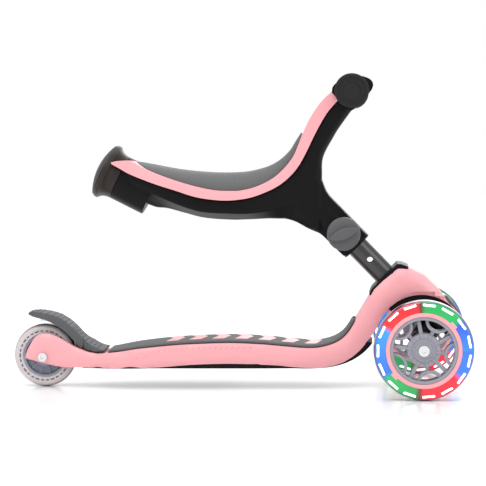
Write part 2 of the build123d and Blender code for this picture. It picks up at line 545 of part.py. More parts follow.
# ---- handlebar ----------------------------------------------------------------------------------
BAR_RADIUS = 9.5
HUB_HALF_WIDTH = 30.0
hub_cover = slab(hub_face, HUB_HALF_WIDTH) - cross_rod(GRIP_AXIS, -60, 60, BAR_RADIUS)
save(hub_cover, "handlebar_hub")
bar = cross_rod(GRIP_AXIS, -BAR_HALF, BAR_HALF, BAR_RADIUS)
bar -= cross_rod(GRIP_AXIS, -130, 130, BAR_RADIUS - 1.5)
save(bar, "handlebar_tube")
for name, side in (("right", -1), ("left", 1)):
    inner = side * (HUB_HALF_WIDTH + 1)
    outer = side * (BAR_HALF - 1)
    low, high = sorted((inner, outer))
    grip = cross_rod(GRIP_AXIS, low, high, 15.5)
    disc_low, disc_high = sorted((side * (BAR_HALF - 8), side * (BAR_HALF + 3)))
    grip_end = cross_rod(GRIP_AXIS, disc_low, disc_high, 20.7)
    grip_end = fillet(grip_end.edges(), 2.5)
    collar_low, collar_high = sorted((inner, inner + side * 5))
    grip += grip_end + cross_rod(GRIP_AXIS, collar_low, collar_high, 18)
    grip -= cross_rod(GRIP_AXIS, -BAR_HALF, BAR_HALF, BAR_RADIUS)
    save(grip, f"grip_{name}")
    end_plug = cross_rod(GRIP_AXIS, *sorted((side * (BAR_HALF - 14), side * BAR_HALF)), BAR_RADIUS - 1.5)
    save(end_plug, f"bar_plug_{name}")

# ---- height lock --------------------------------------------------------------------------------
KNOB_RADIUS = 21.2
knob = cross_rod(PIN_AT, -32, -24.4, KNOB_RADIUS)
knob = fillet(knob.edges(), 1.2)
knob_grip = Pos(PIN_AT[0], -35.5, PIN_AT[1]) * Rot(0, -20, 0) * Box(34, 9, 13.5)
knob_grip = fillet(knob_grip.edges().filter_by(Axis.Y), 6.0)
knob += knob_grip
knob -= cross_rod(PIN_AT, -30, -20, 3)
save(knob, "lock_knob")
PIN_TIP = -(COLUMN_RADIUS + 0.35)
lock_pin = cross_rod(PIN_AT, -30, PIN_TIP, 3.0)
lock_pin += cross_rod(PIN_AT, -18.5, -17, 5.2)
save(lock_pin, "lock_pin")
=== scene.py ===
import json
import math

import bmesh
import bpy
from bpy.props import FloatProperty, FloatVectorProperty, IntProperty, PointerProperty
from mathutils import Matrix, Vector
from mathutils.geometry import interpolate_bezier


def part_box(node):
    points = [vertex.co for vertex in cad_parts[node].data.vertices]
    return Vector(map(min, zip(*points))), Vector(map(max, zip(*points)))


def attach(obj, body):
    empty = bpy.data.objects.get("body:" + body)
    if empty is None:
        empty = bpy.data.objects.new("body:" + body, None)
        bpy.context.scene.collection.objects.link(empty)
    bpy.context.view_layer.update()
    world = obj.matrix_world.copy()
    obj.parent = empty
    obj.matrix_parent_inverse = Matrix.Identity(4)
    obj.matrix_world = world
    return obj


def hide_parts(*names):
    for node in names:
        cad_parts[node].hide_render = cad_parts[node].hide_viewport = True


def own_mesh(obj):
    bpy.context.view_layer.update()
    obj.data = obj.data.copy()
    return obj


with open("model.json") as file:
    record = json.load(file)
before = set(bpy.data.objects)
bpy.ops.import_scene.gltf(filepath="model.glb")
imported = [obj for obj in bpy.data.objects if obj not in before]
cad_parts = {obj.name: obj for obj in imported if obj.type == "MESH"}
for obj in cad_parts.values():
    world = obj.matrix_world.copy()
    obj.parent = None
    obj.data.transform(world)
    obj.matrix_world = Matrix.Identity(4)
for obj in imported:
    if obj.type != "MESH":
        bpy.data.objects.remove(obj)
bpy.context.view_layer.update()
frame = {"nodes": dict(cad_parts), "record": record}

bl_info = {
    "name": "Ride-on scooter",
    "version": (1, 0, 0),
    "blender": (4, 5, 0),
    "location": "3D Viewport > Sidebar > Scooter",
    "description": "Builds the finished look of a child's three-wheeled scooter around its packed frame",
    "category": "Object",
}

MM = 0.001


# ---- places read from the frame -----------------------------------------------------------------
def middle(node):
    low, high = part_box(node)
    return (low + high) / 2


FRONT_AXLE = {side: middle(f"front_tyre_{side}") for side in ("right", "left")}
REAR_AXLE = middle("rear_tyre")
FRONT_RADIUS = (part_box("front_tyre_left")[1].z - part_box("front_tyre_left")[0].z) / 2
REAR_RADIUS = (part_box("rear_tyre")[1].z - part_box("rear_tyre")[0].z) / 2
TYRE_HALF = (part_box("rear_tyre")[1].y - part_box("rear_tyre")[0].y) / 2
BAR = middle("handlebar_tube")
BAR_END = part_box("grip_left")[1].y
PIN = middle("lock_pin")
COLUMN_ANGLE = math.radians(134.0)
COLUMN_DIRECTION = Vector((math.cos(COLUMN_ANGLE), 0, math.sin(COLUMN_ANGLE)))
MOUTH = Vector((0.1845, 0, 0.1395))
SOCKET_RIM = Vector((-0.1675, 0, 0.2735))
SOCKET_ANGLE = math.radians(153.0)
BUTTON_ANGLE = math.radians(38.4)
SOCKET_DIRECTION = Vector((math.cos(SOCKET_ANGLE), 0, math.sin(SOCKET_ANGLE)))


# ---- mesh helpers -------------------------------------------------------------------------------
def smooth_line(points, steps=5):
    """Points along a smooth line through the given ones."""
    points = [Vector(p) for p in points]
    handles = []
    for i, point in enumerate(points):
        before = points[max(i - 1, 0)]
        after = points[min(i + 1, len(points) - 1)]
        way = (after - before).normalized() if after != before else Vector((0, 0))
        handles.append((point - way * (point - before).length / 3, point + way * (after - point).length / 3))
    line = []
    for i in range(len(points) - 1):
        piece = interpolate_bezier(points[i], handles[i][1], handles[i + 1][0], points[i + 1], steps + 1)
        line += piece[:-1]
    return line + [points[-1]]


def value_along(table, x):
    """A value read from (place, value) pairs, eased between them."""
    if x <= table[0][0]:
        return table[0][1]
    for (x0, v0), (x1, v1) in zip(table, table[1:]):
        if x <= x1:
            t = (x - x0) / (x1 - x0)
            return v0 + (v1 - v0) * t * t * (3 - 2 * t)
    return table[-1][1]


def power(value, exponent):
    return math.copysign(abs(value) ** exponent, value)


def new_object(bm, name):
    mesh = bpy.data.meshes.new(name)
    bmesh.ops.remove_doubles(bm, verts=bm.verts, dist=1e-6)
    bmesh.ops.recalc_face_normals(bm, faces=bm.faces)
    bm.to_mesh(mesh)
    bm.free()
    piece = bpy.data.objects.new(name, mesh)
    bpy.context.collection.objects.link(piece)
    return piece


def finish(piece, material, body, replaces=(), crease=35.0):
    """Shade a piece, give it its material and let it ride on its body."""
    mesh = piece.data
    mesh.shade_smooth()
    mesh.set_sharp_from_angle(angle=math.radians(crease))
    mesh.materials.clear()
    mesh.materials.append(material)
    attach(piece, body)
    if replaces:
        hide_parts(*replaces)
    return piece


def applied(piece):
    """The piece with its modifiers made part of its mesh."""
    graph = bpy.context.evaluated_depsgraph_get()
    mesh = bpy.data.meshes.new_from_object(piece.evaluated_get(graph))
    piece.modifiers.clear()
    old = piece.data
    piece.data = mesh
    bpy.data.meshes.remove(old)
    return piece


def add_panel(bm, outline, half_at, rim, segments=4, cuts=12.0, grid=False, middle_y=0.0):
    """A closed side outline (X, Z in mm) made solid across the width, with rounded rims."""
    part = bmesh.new()
    verts = [part.verts.new((x * MM, -1.0, z * MM)) for x, z in outline]
    face = part.faces.new(verts)
    grown = bmesh.ops.extrude_face_region(part, geom=[face])
    for vert in [g for g in grown["geom"] if isinstance(g, bmesh.types.BMVert)]:
        vert.co.y = 1.0
    for normal, points in (((1, 0, 0), [x for x, z in outline]), ((0, 0, 1), [z for x, z in outline])):
        if normal[2] and not grid:
            continue
        place = min(points) + cuts
        while place < max(points) - cuts / 2:
            bmesh.ops.bisect_plane(part, geom=part.verts[:] + part.edges[:] + part.faces[:],
                                   plane_co=Vector(normal) * place * MM, plane_no=normal)
            place += cuts
    rims = [e for e in part.edges if len(e.link_faces) == 2
            and sorted(abs(f.normal.y) > 0.5 for f in e.link_faces) == [False, True]]
    for vert in part.verts:
        vert.co.y = (middle_y + vert.co.y * half_at(vert.co.x / MM, vert.co.z / MM)) * MM
    if rim > 0:
        bmesh.ops.bevel(part, geom=rims, offset=rim * MM, segments=segments, profile=0.5,
                        affect="EDGES", material=-1, clamp_overlap=True)
    bmesh.ops.recalc_face_normals(part, faces=part.faces)
    mesh = bpy.data.meshes.new("part")
    part.to_mesh(mesh)
    part.free()
    bm.from_mesh(mesh)
    bpy.data.meshes.remove(mesh)


def distance_to(line, x, z, closed=True):
    """How far a place lies from a line of points."""
    place = Vector((x, z))
    ends = line[1:] + line[:1] if closed else line[1:]
    best = 1e9
    for a, b in zip(line, ends):
        way = b - a
        t = min(1.0, max(0.0, (place - a).dot(way) / max(way.length_squared, 1e-9)))
        best = min(best, (place - a - way * t).length)
    return best


def pillow(distance, reach, depth):
    """How far a side draws in near its outline, as a moulding's draft does."""
    if distance >= reach:
        return 0.0
    return depth * (1 - math.sqrt(1 - (1 - distance / reach) ** 2))


def add_rings(bm, rings, close=False):
    """A skin through rings of points, each ring started as a circle, with its ends capped."""
    loops = []
    for points in rings:
        made = bmesh.ops.create_circle(bm, segments=len(points), radius=1.0)
        for vert, point in zip(made["verts"], points):
            vert.co = point
        loops.append(made["verts"])
    for first, second in zip(loops, loops[1:]):
        edges = [e for e in {e for v in first for e in v.link_edges} if all(v in first for v in e.verts)]
        edges += [e for e in {e for v in second for e in v.link_edges} if all(v in second for v in e.verts)]
        bmesh.ops.bridge_loops(bm, edges=edges)
    for loop in (loops[0], loops[-1]):
        bm.faces.new(loop)


def add_lathe(bm, profile, centre, segments=96, axis=(0, 1, 0), closed=True):
    """A profile of (radius, distance along the axis) in mm, spun about an axis through the centre."""
    axis = Vector(axis).normalized()
    side = Vector((1, 0, 0)) if abs(axis.x) < 0.5 else axis.orthogonal().normalized()
    side = (side - axis * side.dot(axis)).normalized()
    centre = Vector(centre)
    verts = [bm.verts.new(centre + side * r * MM + axis * d * MM) for r, d in profile]
    edges = [bm.edges.new(pair) for pair in zip(verts, verts[1:])]
    if closed:
        edges.append(bm.edges.new((verts[-1], verts[0])))
    bmesh.ops.spin(bm, geom=verts + edges, cent=centre, axis=axis, angle=math.tau, steps=segments,
                   use_merge=True, use_duplicate=False)


def add_block(bm, size, place, rim=0.0, segments=3):
    """A box of the given size in mm with rounded edges, put in place by a matrix."""
    made = bmesh.ops.create_cube(bm, size=1.0)
    verts = made["verts"]
    bmesh.ops.scale(bm, vec=Vector(size) * MM, verts=verts)
    if rim > 0:
        edges = list({e for v in verts for e in v.link_edges})
        made = bmesh.ops.bevel(bm, geom=edges, offset=rim * MM, segments=segments, profile=0.5,
                               affect="EDGES", material=-1)
        verts = list({v for f in made["faces"] for v in f.verts})
    bmesh.ops.transform(bm, matrix=place, verts=verts)


def rounded_profile(radius, bore, half, lip, steps=5):
    """A ring's section with its outer and inner corners rounded, as (radius, distance) pairs."""
    corners = [(radius - lip, half - lip, 0), (bore + lip, half - lip, 90),
               (bore + lip, -half + lip, 180), (radius - lip, -half + lip, 270)]
    points = []
    for r, d, start in corners:
        for i in range(steps):
            a = math.radians(start + 90 * i / (steps - 1))
            points.append((r + lip * math.cos(a), d + lip * math.sin(a)))
    return points


def reopened(piece):
    """A piece's mesh, open for more work."""
    bm = bmesh.new()
    bm.from_mesh(piece.data)
    return bm


def write_back(bm, piece):
    """Write the work back into the piece."""
    bm.to_mesh(piece.data)
    bm.free()


def soften(node, voxel, rounds):
    """A copy of a CAD node's solid with its edges worn round, as a moulding leaves them."""
    mesh = frame["nodes"][node].data.copy()
    piece = bpy.data.objects.new(node + "_skin", mesh)
    bpy.context.collection.objects.link(piece)
    bm = reopened(piece)
    bmesh.ops.remove_doubles(bm, verts=bm.verts, dist=1e-6)
    write_back(bm, piece)
    return rounded(piece, voxel, rounds)


def rounded(piece, voxel, rounds):
    """Even out a piece's surface at a voxel size in mm, and smooth it a number of times."""
    remesh = piece.modifiers.new("Remesh", "REMESH")
    remesh.mode = "VOXEL"
    remesh.voxel_size = voxel * MM
    applied(piece)
    bm = reopened(piece)
    for _ in range(rounds):
        bmesh.ops.smooth_vert(bm, verts=bm.verts, factor=0.5,
                              use_axis_x=True, use_axis_y=True, use_axis_z=True)
    write_back(bm, piece)
    return piece


# ---- shader helpers -----------------------------------------------------------------------------
def node_group(name, inputs, outputs):
    group = bpy.data.node_groups.new(name, "ShaderNodeTree")
    for label, kind, default in inputs:
        socket = group.interface.new_socket(name=label, in_out="INPUT", socket_type=kind)
        if default is not None:
            socket.default_value = default
    for label, kind in outputs:
        group.interface.new_socket(name=label, in_out="OUTPUT", socket_type=kind)
    return group, group.nodes.new("NodeGroupInput"), group.nodes.new("NodeGroupOutput")


def maths(tree, operation, *values):
    node = tree.nodes.new("ShaderNodeMath")
    node.operation = operation
    for i, value in enumerate(values):
        if isinstance(value, (int, float)):
            node.inputs[i].default_value = value
        else:
            tree.links.new(value, node.inputs[i])
    return node.outputs[0]


def grain_group():
    """Moulded grain: a fine bump, and a mask of slow changes in the finish."""
    group, inp, out = node_group(
        "Moulded grain",
        [("Vector", "NodeSocketVector", None), ("Grain Size", "NodeSocketFloat", 1200.0),
         ("Depth", "NodeSocketFloat", 0.2)],
        [("Normal", "NodeSocketVector"), ("Mottle", "NodeSocketFloat")])
    noise = group.nodes.new("ShaderNodeTexNoise")
    noise.inputs["Detail"].default_value = 3.0
    slow = group.nodes.new("ShaderNodeTexNoise")
    slow.inputs["Scale"].default_value = 14.0
    slow.inputs["Detail"].default_value = 4.0
    bump = group.nodes.new("ShaderNodeBump")
    bump.inputs["Distance"].default_value = 0.0002
    links = group.links
    links.new(inp.outputs["Vector"], noise.inputs["Vector"])
    links.new(inp.outputs["Vector"], slow.inputs["Vector"])
    links.new(inp.outputs["Grain Size"], noise.inputs["Scale"])
    links.new(inp.outputs["Depth"], bump.inputs["Strength"])
    links.new(noise.outputs["Fac"], bump.inputs["Height"])
    links.new(bump.outputs["Normal"], out.inputs["Normal"])
    links.new(slow.outputs["Fac"], out.inputs["Mottle"])
    return group


def wear_group():
    """Edges rubbed a little paler, with scuffs broken up by noise."""
    group, inp, out = node_group(
        "Rubbed edges",
        [("Color", "NodeSocketColor", None), ("Rubbed Color", "NodeSocketColor", None),
         ("Mottle", "NodeSocketFloat", 0.5), ("Amount", "NodeSocketFloat", 0.3)],
        [("Color", "NodeSocketColor"), ("Mask", "NodeSocketFloat")])
    geometry = group.nodes.new("ShaderNodeNewGeometry")
    ramp = group.nodes.new("ShaderNodeMapRange")
    ramp.inputs["From Min"].default_value = 0.52
    ramp.inputs["From Max"].default_value = 0.60
    mix = group.nodes.new("ShaderNodeMix")
    mix.data_type = "RGBA"
    links = group.links
    links.new(geometry.outputs["Pointiness"], ramp.inputs["Value"])
    mask = maths(group, "MULTIPLY", ramp.outputs["Result"], inp.outputs["Mottle"])
    mask = maths(group, "MULTIPLY", mask, inp.outputs["Amount"])
    links.new(mask, mix.inputs["Factor"])
    links.new(inp.outputs["Color"], mix.inputs["A"])
    links.new(inp.outputs["Rubbed Color"], mix.inputs["B"])
    links.new(mix.outputs["Result"], out.inputs["Color"])
    links.new(mask, out.inputs["Mask"])
    return group


def stripes_group():
    """Parallel ribs across a chosen direction, as a height from 0 to 1."""
    group, inp, out = node_group(
        "Ribs",
        [("Vector", "NodeSocketVector", None), ("Turn", "NodeSocketVector", (0, 0, 0)),
         ("Pitch", "NodeSocketFloat", 0.003)],
        [("Height", "NodeSocketFloat")])
    mapping = group.nodes.new("ShaderNodeMapping")
    split = group.nodes.new("ShaderNodeSeparateXYZ")
    links = group.links
    links.new(inp.outputs["Vector"], mapping.inputs["Vector"])
    links.new(inp.outputs["Turn"], mapping.inputs["Rotation"])
    links.new(mapping.outputs["Vector"], split.inputs["Vector"])
    turns = maths(group, "DIVIDE", split.outputs["X"], inp.outputs["Pitch"])
    wave = maths(group, "SINE", maths(group, "MULTIPLY", turns, math.tau))
    links.new(maths(group, "MULTIPLY_ADD", wave, 0.5, 0.5), out.inputs["Height"])
    return group


def place_group(tree, group, **values):
    node = tree.nodes.new("ShaderNodeGroup")
    node.node_tree = group
    for name, value in values.items():
        node.inputs[name.replace("_", " ")].default_value = value
    return node


def new_material(name):
    material = bpy.data.materials.new(name)
    material.use_nodes = True
    tree = material.node_tree
    shader = tree.nodes["Principled BSDF"]
    coordinates = tree.nodes.new("ShaderNodeTexCoord")
    return material, tree, shader, coordinates.outputs["Object"]


def set_sockets(shader, **values):
    for name, value in values.items():
        shader.inputs[name.replace("_", " ")].default_value = value


def roughness_from(tree, shader, mask, low, high):
    spread = tree.nodes.new("ShaderNodeMapRange")
    spread.inputs["To Min"].default_value = low
    spread.inputs["To Max"].default_value = high
    tree.links.new(mask, spread.inputs["Value"])
    tree.links.new(spread.outputs["Result"], shader.inputs["Roughness"])


def tinted(tree, mask, dark, light):
    mix = tree.nodes.new("ShaderNodeMix")
    mix.data_type = "RGBA"
    mix.inputs["A"].default_value = dark
    mix.inputs["B"].default_value = light
    tree.links.new(mask, mix.inputs["Factor"])
    return mix.outputs["Result"]


def shade(color, factor):
    return tuple(min(c * factor, 1.0) for c in color[:3]) + (1.0,)


GROUPS = {}
MATERIALS = {}


def plastic(name, color, low, high, grain=1400.0, depth=0.25, coat=0.0, wear=0.25, specular=0.5):
    """Moulded plastic with grain, slow mottling and rubbed edges."""
    material, tree, shader, place = new_material(name)
    moulded = place_group(tree, GROUPS["grain"], Grain_Size=grain, Depth=depth)
    tree.links.new(place, moulded.inputs["Vector"])
    rubbed = place_group(tree, GROUPS["wear"], Rubbed_Color=shade(color, 1.6), Amount=wear)
    base = tinted(tree, moulded.outputs["Mottle"], shade(color, 0.93), shade(color, 1.06))
    tree.links.new(base, rubbed.inputs["Color"])
    tree.links.new(moulded.outputs["Mottle"], rubbed.inputs["Mottle"])
    tree.links.new(rubbed.outputs["Color"], shader.inputs["Base Color"])
    tree.links.new(moulded.outputs["Normal"], shader.inputs["Normal"])
    roughness_from(tree, shader, moulded.outputs["Mottle"], low, high)
    set_sockets(shader, Coat_Weight=coat, Coat_Roughness=0.25, Specular_IOR_Level=specular)
    MATERIALS[name] = material
    return material, tree, shader, place


def ribbed_rubber(name, color, turn, pitch, depth=0.6, distance=0.0008, specular=0.3):
    """Matt rubber with fine moulded ribs over its grain."""
    material, tree, shader, place = plastic(name, color, 0.55, 0.75, grain=1800.0, depth=0.35, wear=0.15,
                                            specular=specular)
    ribs = place_group(tree, GROUPS["ribs"], Turn=turn, Pitch=pitch)
    bump = tree.nodes.new("ShaderNodeBump")
    bump.inputs["Strength"].default_value = depth
    bump.inputs["Distance"].default_value = distance
    moulded = next(n for n in tree.nodes if n.type == "GROUP" and n.node_tree == GROUPS["grain"])
    tree.links.new(place, ribs.inputs["Vector"])
    tree.links.new(ribs.outputs["Height"], bump.inputs["Height"])
    tree.links.new(moulded.outputs["Normal"], bump.inputs["Normal"])
    tree.links.new(bump.outputs["Normal"], shader.inputs["Normal"])
    return material, tree, shader, place


def metal(name, color, roughness, brushed=600.0):
    """Metal with a fine brushed grain."""
    material, tree, shader, place = new_material(name)
    moulded = place_group(tree, GROUPS["grain"], Grain_Size=brushed, Depth=0.15)
    tree.links.new(place, moulded.inputs["Vector"])
    base = tinted(tree, moulded.outputs["Mottle"], shade(color, 0.85), color)
    tree.links.new(base, shader.inputs["Base Color"])
    tree.links.new(moulded.outputs["Normal"], shader.inputs["Normal"])
    roughness_from(tree, shader, moulded.outputs["Mottle"], roughness * 0.7, roughness * 1.3)
    set_sockets(shader, Metallic=1.0)
    MATERIALS[name] = material
    return material


def around(tree, place, centre):
    """The angle about a wheel's axle, from 0 to 1 anticlockwise from the front, and the distance out."""
    split = tree.nodes.new("ShaderNodeSeparateXYZ")
    mapping = tree.nodes.new("ShaderNodeMapping")
    mapping.inputs["Location"].default_value = -Vector(centre)
    tree.links.new(place, mapping.inputs["Vector"])
    tree.links.new(mapping.outputs["Vector"], split.inputs["Vector"])
    angle = maths(tree, "ARCTAN2", split.outputs["Z"], split.outputs["X"])
    turn = maths(tree, "FRACT", maths(tree, "ADD", maths(tree, "DIVIDE", angle, math.tau), 1.0))
    x2 = maths(tree, "MULTIPLY", split.outputs["X"], split.outputs["X"])
    z2 = maths(tree, "MULTIPLY", split.outputs["Z"], split.outputs["Z"])
    return turn, maths(tree, "SQRT", maths(tree, "ADD", x2, z2)), split.outputs["Y"]


def lit_tyre(name, centre):
    """Clear cast tyre lit from inside in red, green and blue stretches."""
    material, tree, shader, place = new_material(name)
    turn, out, _ = around(tree, place, centre)
    ramp = tree.nodes.new("ShaderNodeValToRGB")
    stretches = [(0.0, (0.01, 0.16, 0.68, 1)), (0.10, (0.01, 0.06, 0.45, 1)), (0.118, (0.0, 0.32, 0.07, 1)),
                 (0.245, (0.0, 0.28, 0.05, 1)), (0.262, (0.07, 0.01, 0.01, 1)), (0.28, (0.78, 0.0, 0.01, 1)),
                 (0.405, (0.62, 0.01, 0.01, 1)), (0.425, (0.01, 0.22, 0.72, 1)), (0.585, (0.01, 0.10, 0.55, 1)),
                 (0.605, (0.0, 0.32, 0.07, 1)), (0.715, (0.0, 0.26, 0.05, 1)), (0.732, (0.07, 0.01, 0.01, 1)),
                 (0.75, (0.72, 0.0, 0.01, 1)), (0.885, (0.72, 0.0, 0.02, 1)), (0.91, (0.01, 0.12, 0.60, 1))]
    elements = ramp.color_ramp.elements
    elements[0].position, elements[0].color = stretches[0]
    elements[1].position, elements[1].color = stretches[-1]
    for position, color in stretches[1:-1]:
        elements.new(position).color = color
    tree.links.new(turn, ramp.inputs["Fac"])
    rim = tree.nodes.new("ShaderNodeMapRange")
    rim.inputs["From Min"].default_value = FRONT_RADIUS - 0.0035
    rim.inputs["From Max"].default_value = FRONT_RADIUS - 0.001
    tree.links.new(out, rim.inputs["Value"])
    mix = tree.nodes.new("ShaderNodeMix")
    mix.data_type = "RGBA"
    mix.inputs["B"].default_value = (0.02, 0.03, 0.06, 1)
    tree.links.new(rim.outputs["Result"], mix.inputs["Factor"])
    tree.links.new(ramp.outputs["Color"], mix.inputs["A"])
    tree.links.new(mix.outputs["Result"], shader.inputs["Base Color"])
    tree.links.new(mix.outputs["Result"], shader.inputs["Emission Color"])
    set_sockets(shader, Roughness=0.12, Coat_Weight=0.6, Coat_Roughness=0.08, Emission_Strength=0.45)
    MATERIALS[name] = material


def smoky_tyre(colours):
    """Clear cast rear tyre: pale over the core, dark at the tread."""
    material, tree, shader, place = new_material("smoky_tyre")
    _, out, _ = around(tree, place, REAR_AXLE)
    noise = tree.nodes.new("ShaderNodeTexNoise")
    noise.inputs["Scale"].default_value = 90.0
    tree.links.new(place, noise.inputs["Vector"])
    ramp = tree.nodes.new("ShaderNodeMapRange")
    ramp.inputs["From Min"].default_value = REAR_RADIUS - 0.0022
    ramp.inputs["From Max"].default_value = REAR_RADIUS - 0.0012
    tree.links.new(out, ramp.inputs["Value"])
    body = tinted(tree, noise.outputs["Fac"], shade(colours.smoke, 0.92), shade(colours.smoke, 1.05))
    mix = tree.nodes.new("ShaderNodeMix")
    mix.data_type = "RGBA"
    mix.inputs["B"].default_value = shade(colours.smoke, 0.12)
    tree.links.new(ramp.outputs["Result"], mix.inputs["Factor"])
    tree.links.new(body, mix.inputs["A"])
    tree.links.new(mix.outputs["Result"], shader.inputs["Base Color"])
    roughness_from(tree, shader, noise.outputs["Fac"], 0.12, 0.25)
    set_sockets(shader, Transmission_Weight=0.3, IOR=1.45, Coat_Weight=0.3)
    MATERIALS["smoky_tyre"] = material


def make_materials(colours):
    """Every material that the pieces share."""
    GROUPS["grain"] = grain_group()
    GROUPS["wear"] = wear_group()
    GROUPS["ribs"] = stripes_group()
    plastic("pink_plastic", colours.pink, 0.38, 0.50, depth=0.12, coat=0.1, wear=0.1)
    plastic("black_plastic", colours.black, 0.34, 0.46, depth=0.2, wear=0.1, specular=0.1)
    plastic("cap_plastic", colours.cap, 0.34, 0.46, depth=0.3, specular=0.25)
    plastic("dark_grey_plastic", colours.knob_grey, 0.38, 0.5, depth=0.3, specular=0.3)
    plastic("wheel_grey", colours.wheel_grey, 0.32, 0.45, depth=0.2, coat=0.2)
    plastic("core_blue_grey", colours.core_grey, 0.32, 0.45, depth=0.2, coat=0.2)
    plastic("seal_grey", colours.seal_grey, 0.3, 0.4, depth=0.1)
    ribbed_rubber("mat_rubber", colours.mat_grey, (0, 0, math.radians(35)), 0.0028)
    ribbed_rubber("brake_rubber", colours.mat_grey, (0, 0, 0), 0.0035)
    ribbed_rubber("grip_rubber", colours.grip, (0, 0, math.radians(90)), 0.0022, specular=0.2)
    ribbed_rubber("pad_foam", colours.pad_grey, (0, 0, 0), 0.0032)
    metal("bright_steel", colours.steel, 0.22)
    plastic("tube_black", (0.008, 0.008, 0.009, 1), 0.16, 0.24, depth=0.08, coat=0.4, wear=0.1)
    for side in ("right", "left"):
        lit_tyre(f"lit_tyre_{side}", FRONT_AXLE[side])
    material, tree, shader, place = new_material("white_light")
    noise = tree.nodes.new("ShaderNodeTexNoise")
    noise.inputs["Scale"].default_value = 300.0
    tree.links.new(place, noise.inputs["Vector"])
    glow = tinted(tree, noise.outputs["Fac"], (0.82, 0.90, 1.0, 1), (1, 1, 1, 1))
    tree.links.new(glow, shader.inputs["Base Color"])
    tree.links.new(glow, shader.inputs["Emission Color"])
    set_sockets(shader, Roughness=0.3, Emission_Strength=1.2)
    MATERIALS["white_light"] = material
    smoky_tyre(colours)


# ---- side outlines, in millimetres ----------------------------------------------------------------
DECK_PLAN = [(-290, 25), (-240, 26), (-212, 27), (-186, 32), (-150, 42), (-105, 47), (-20, 48), (70, 46),
             (125, 40), (165, 36), (220, 35), (290, 34)]
ARM_TOP = [(-271, 41.8), (-267, 51.6), (-257, 66.0), (-245, 69.0), (-230, 64.6), (-210, 53.2), (-194, 47.0),
           (-178, 44.0)]
DECK_RIM = [(-178, 44.0), (-157, 46.2), (-128, 51.0), (-83, 55.8), (-38, 58.2), (-6, 58.7), (30, 57.0),
            (60, 54.3), (86, 52.3), (104, 53.3), (123, 59.5), (136, 70.0), (147, 87.0)]
BROW = [(199.3, 153.8), (211, 151.9), (220.6, 147.6), (231, 141.8), (238.6, 134.9), (247.5, 125.8),
        (255, 116.6), (262.5, 106.3), (272.9, 95.6)]
BELLY = [(173.8, 78.1), (164, 64.6), (150, 47.8), (133, 35.5), (112, 28.6), (92, 27.6), (50, 30.6),
         (0, 33.4), (-50, 32.6), (-100, 28.8), (-145, 27.0), (-190, 26.6), (-222, 26.7), (-246, 31.0),
         (-271, 38.0)]
ARCH_RADIUS = 57.0           # the head's arch over the front axle
SLOT_RADIUS = 44.0           # the room for the rear wheel
DRAFT_REACH = 14.0           # how far in from the outline the deck's sides begin to draw in
FORK_INNER = 17.2            # half the room between the fork's arms
MAT_PLAN = [(-166, 29), (-140, 36), (-100, 39), (-20, 39), (70, 38), (125, 33), (150, 28)]
TRIM_UNDER = [(-157.5, 282.6), (-149.1, 278.2), (-137.2, 271.6), (-119.4, 264.2), (-100.4, 257.3),
              (-76.2, 249.6), (-52.4, 241.9), (-28.6, 238.0), (-8.7, 237.2), (15.6, 240.3), (33.4, 246.2),
              (51.3, 254.9), (64.8, 265.8), (75.4, 278.3), (84.6, 294.3), (95.2, 316.0), (104.5, 333.2),
              (112.9, 346.4), (125.6, 360.7)]
TRIM_OVER = [(-158.6, 285.0), (-152, 286.4), (-139.5, 286.9), (-131.1, 285.9), (-125.2, 283.2),
             (-114.5, 276.8), (-100.2, 270.6), (-76, 262.0), (-52.3, 255.0), (-28.5, 250.0), (-8.6, 248.9),
             (3.8, 249.3), (23.5, 254.0), (43.4, 263.8), (57.3, 275.7), (69.2, 290.9), (75.2, 304.1),
             (80.3, 317.0), (89.8, 337.4), (100, 353.1), (108.5, 363.2), (118.2, 371.6)]
SADDLE_PLAN = [(-175, 30), (-150, 34), (-125, 41), (-90, 46), (-40, 46), (0, 45), (40, 36), (70, 27),
               (100, 22.5), (130, 22), (160, 22)]
BRAKE_TOP = [(-268.5, 94.0), (-266, 95.4), (-259.8, 96.0), (-252, 95.4), (-241.2, 93.5), (-231.4, 90.5),
             (-225.5, 87.3), (-218.7, 82.9), (-210.9, 76.1), (-206.1, 71.0), (-201.3, 66.1), (-195.4, 61.2),
             (-188.6, 56.5), (-181.8, 52.4), (-175, 49.8), (-170.2, 49.2)]
BRAKE_UNDER = [(-188, 44.6), (-197, 47.6), (-206, 55.6), (-214.8, 65.4), (-222.5, 72.6), (-232.2, 79.1),
               (-240, 83.4), (-248.7, 86.9), (-256.4, 88.6), (-262.3, 90.2), (-266.9, 92.2)]


def arc(centre, radius, start, end, steps):
    points = []
    for i in range(steps + 1):
        a = math.radians(start + (end - start) * i / steps)
        points.append((centre[0] + radius * math.cos(a), centre[1] + radius * math.sin(a)))
    return points


def joined_outline(*lines):
    """One closed outline from lines laid end to end, without doubled points."""
    outline = []
    for line in lines:
        for point in line:
            point = Vector(point)
            if not outline or (point - outline[-1]).length > 0.3:
                outline.append(point)
    if (outline[0] - outline[-1]).length < 0.3:
        outline.pop()
    return outline


# ---- deck -----------------------------------------------------------------------------------------
def deck_half(outline, x, z):
    """The deck's half width: its plan, drawn in near the side outline and more so at the head."""
    depth = value_along([(150, 3.0), (205, 9.5)], x)
    return value_along(DECK_PLAN, x) - pillow(distance_to(outline, x, z), DRAFT_REACH, depth)


def add_button_room(bm):
    """The pocket that the steering lock button slides in."""
    low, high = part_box("steering_lock_button")
    place = Matrix.Translation((low + high) / 2) @ Matrix.Rotation(-BUTTON_ANGLE, 4, "Y")
    add_block(bm, (30, 22.8, 26.8), place @ Matrix.Translation((0.004, 0, 0)))


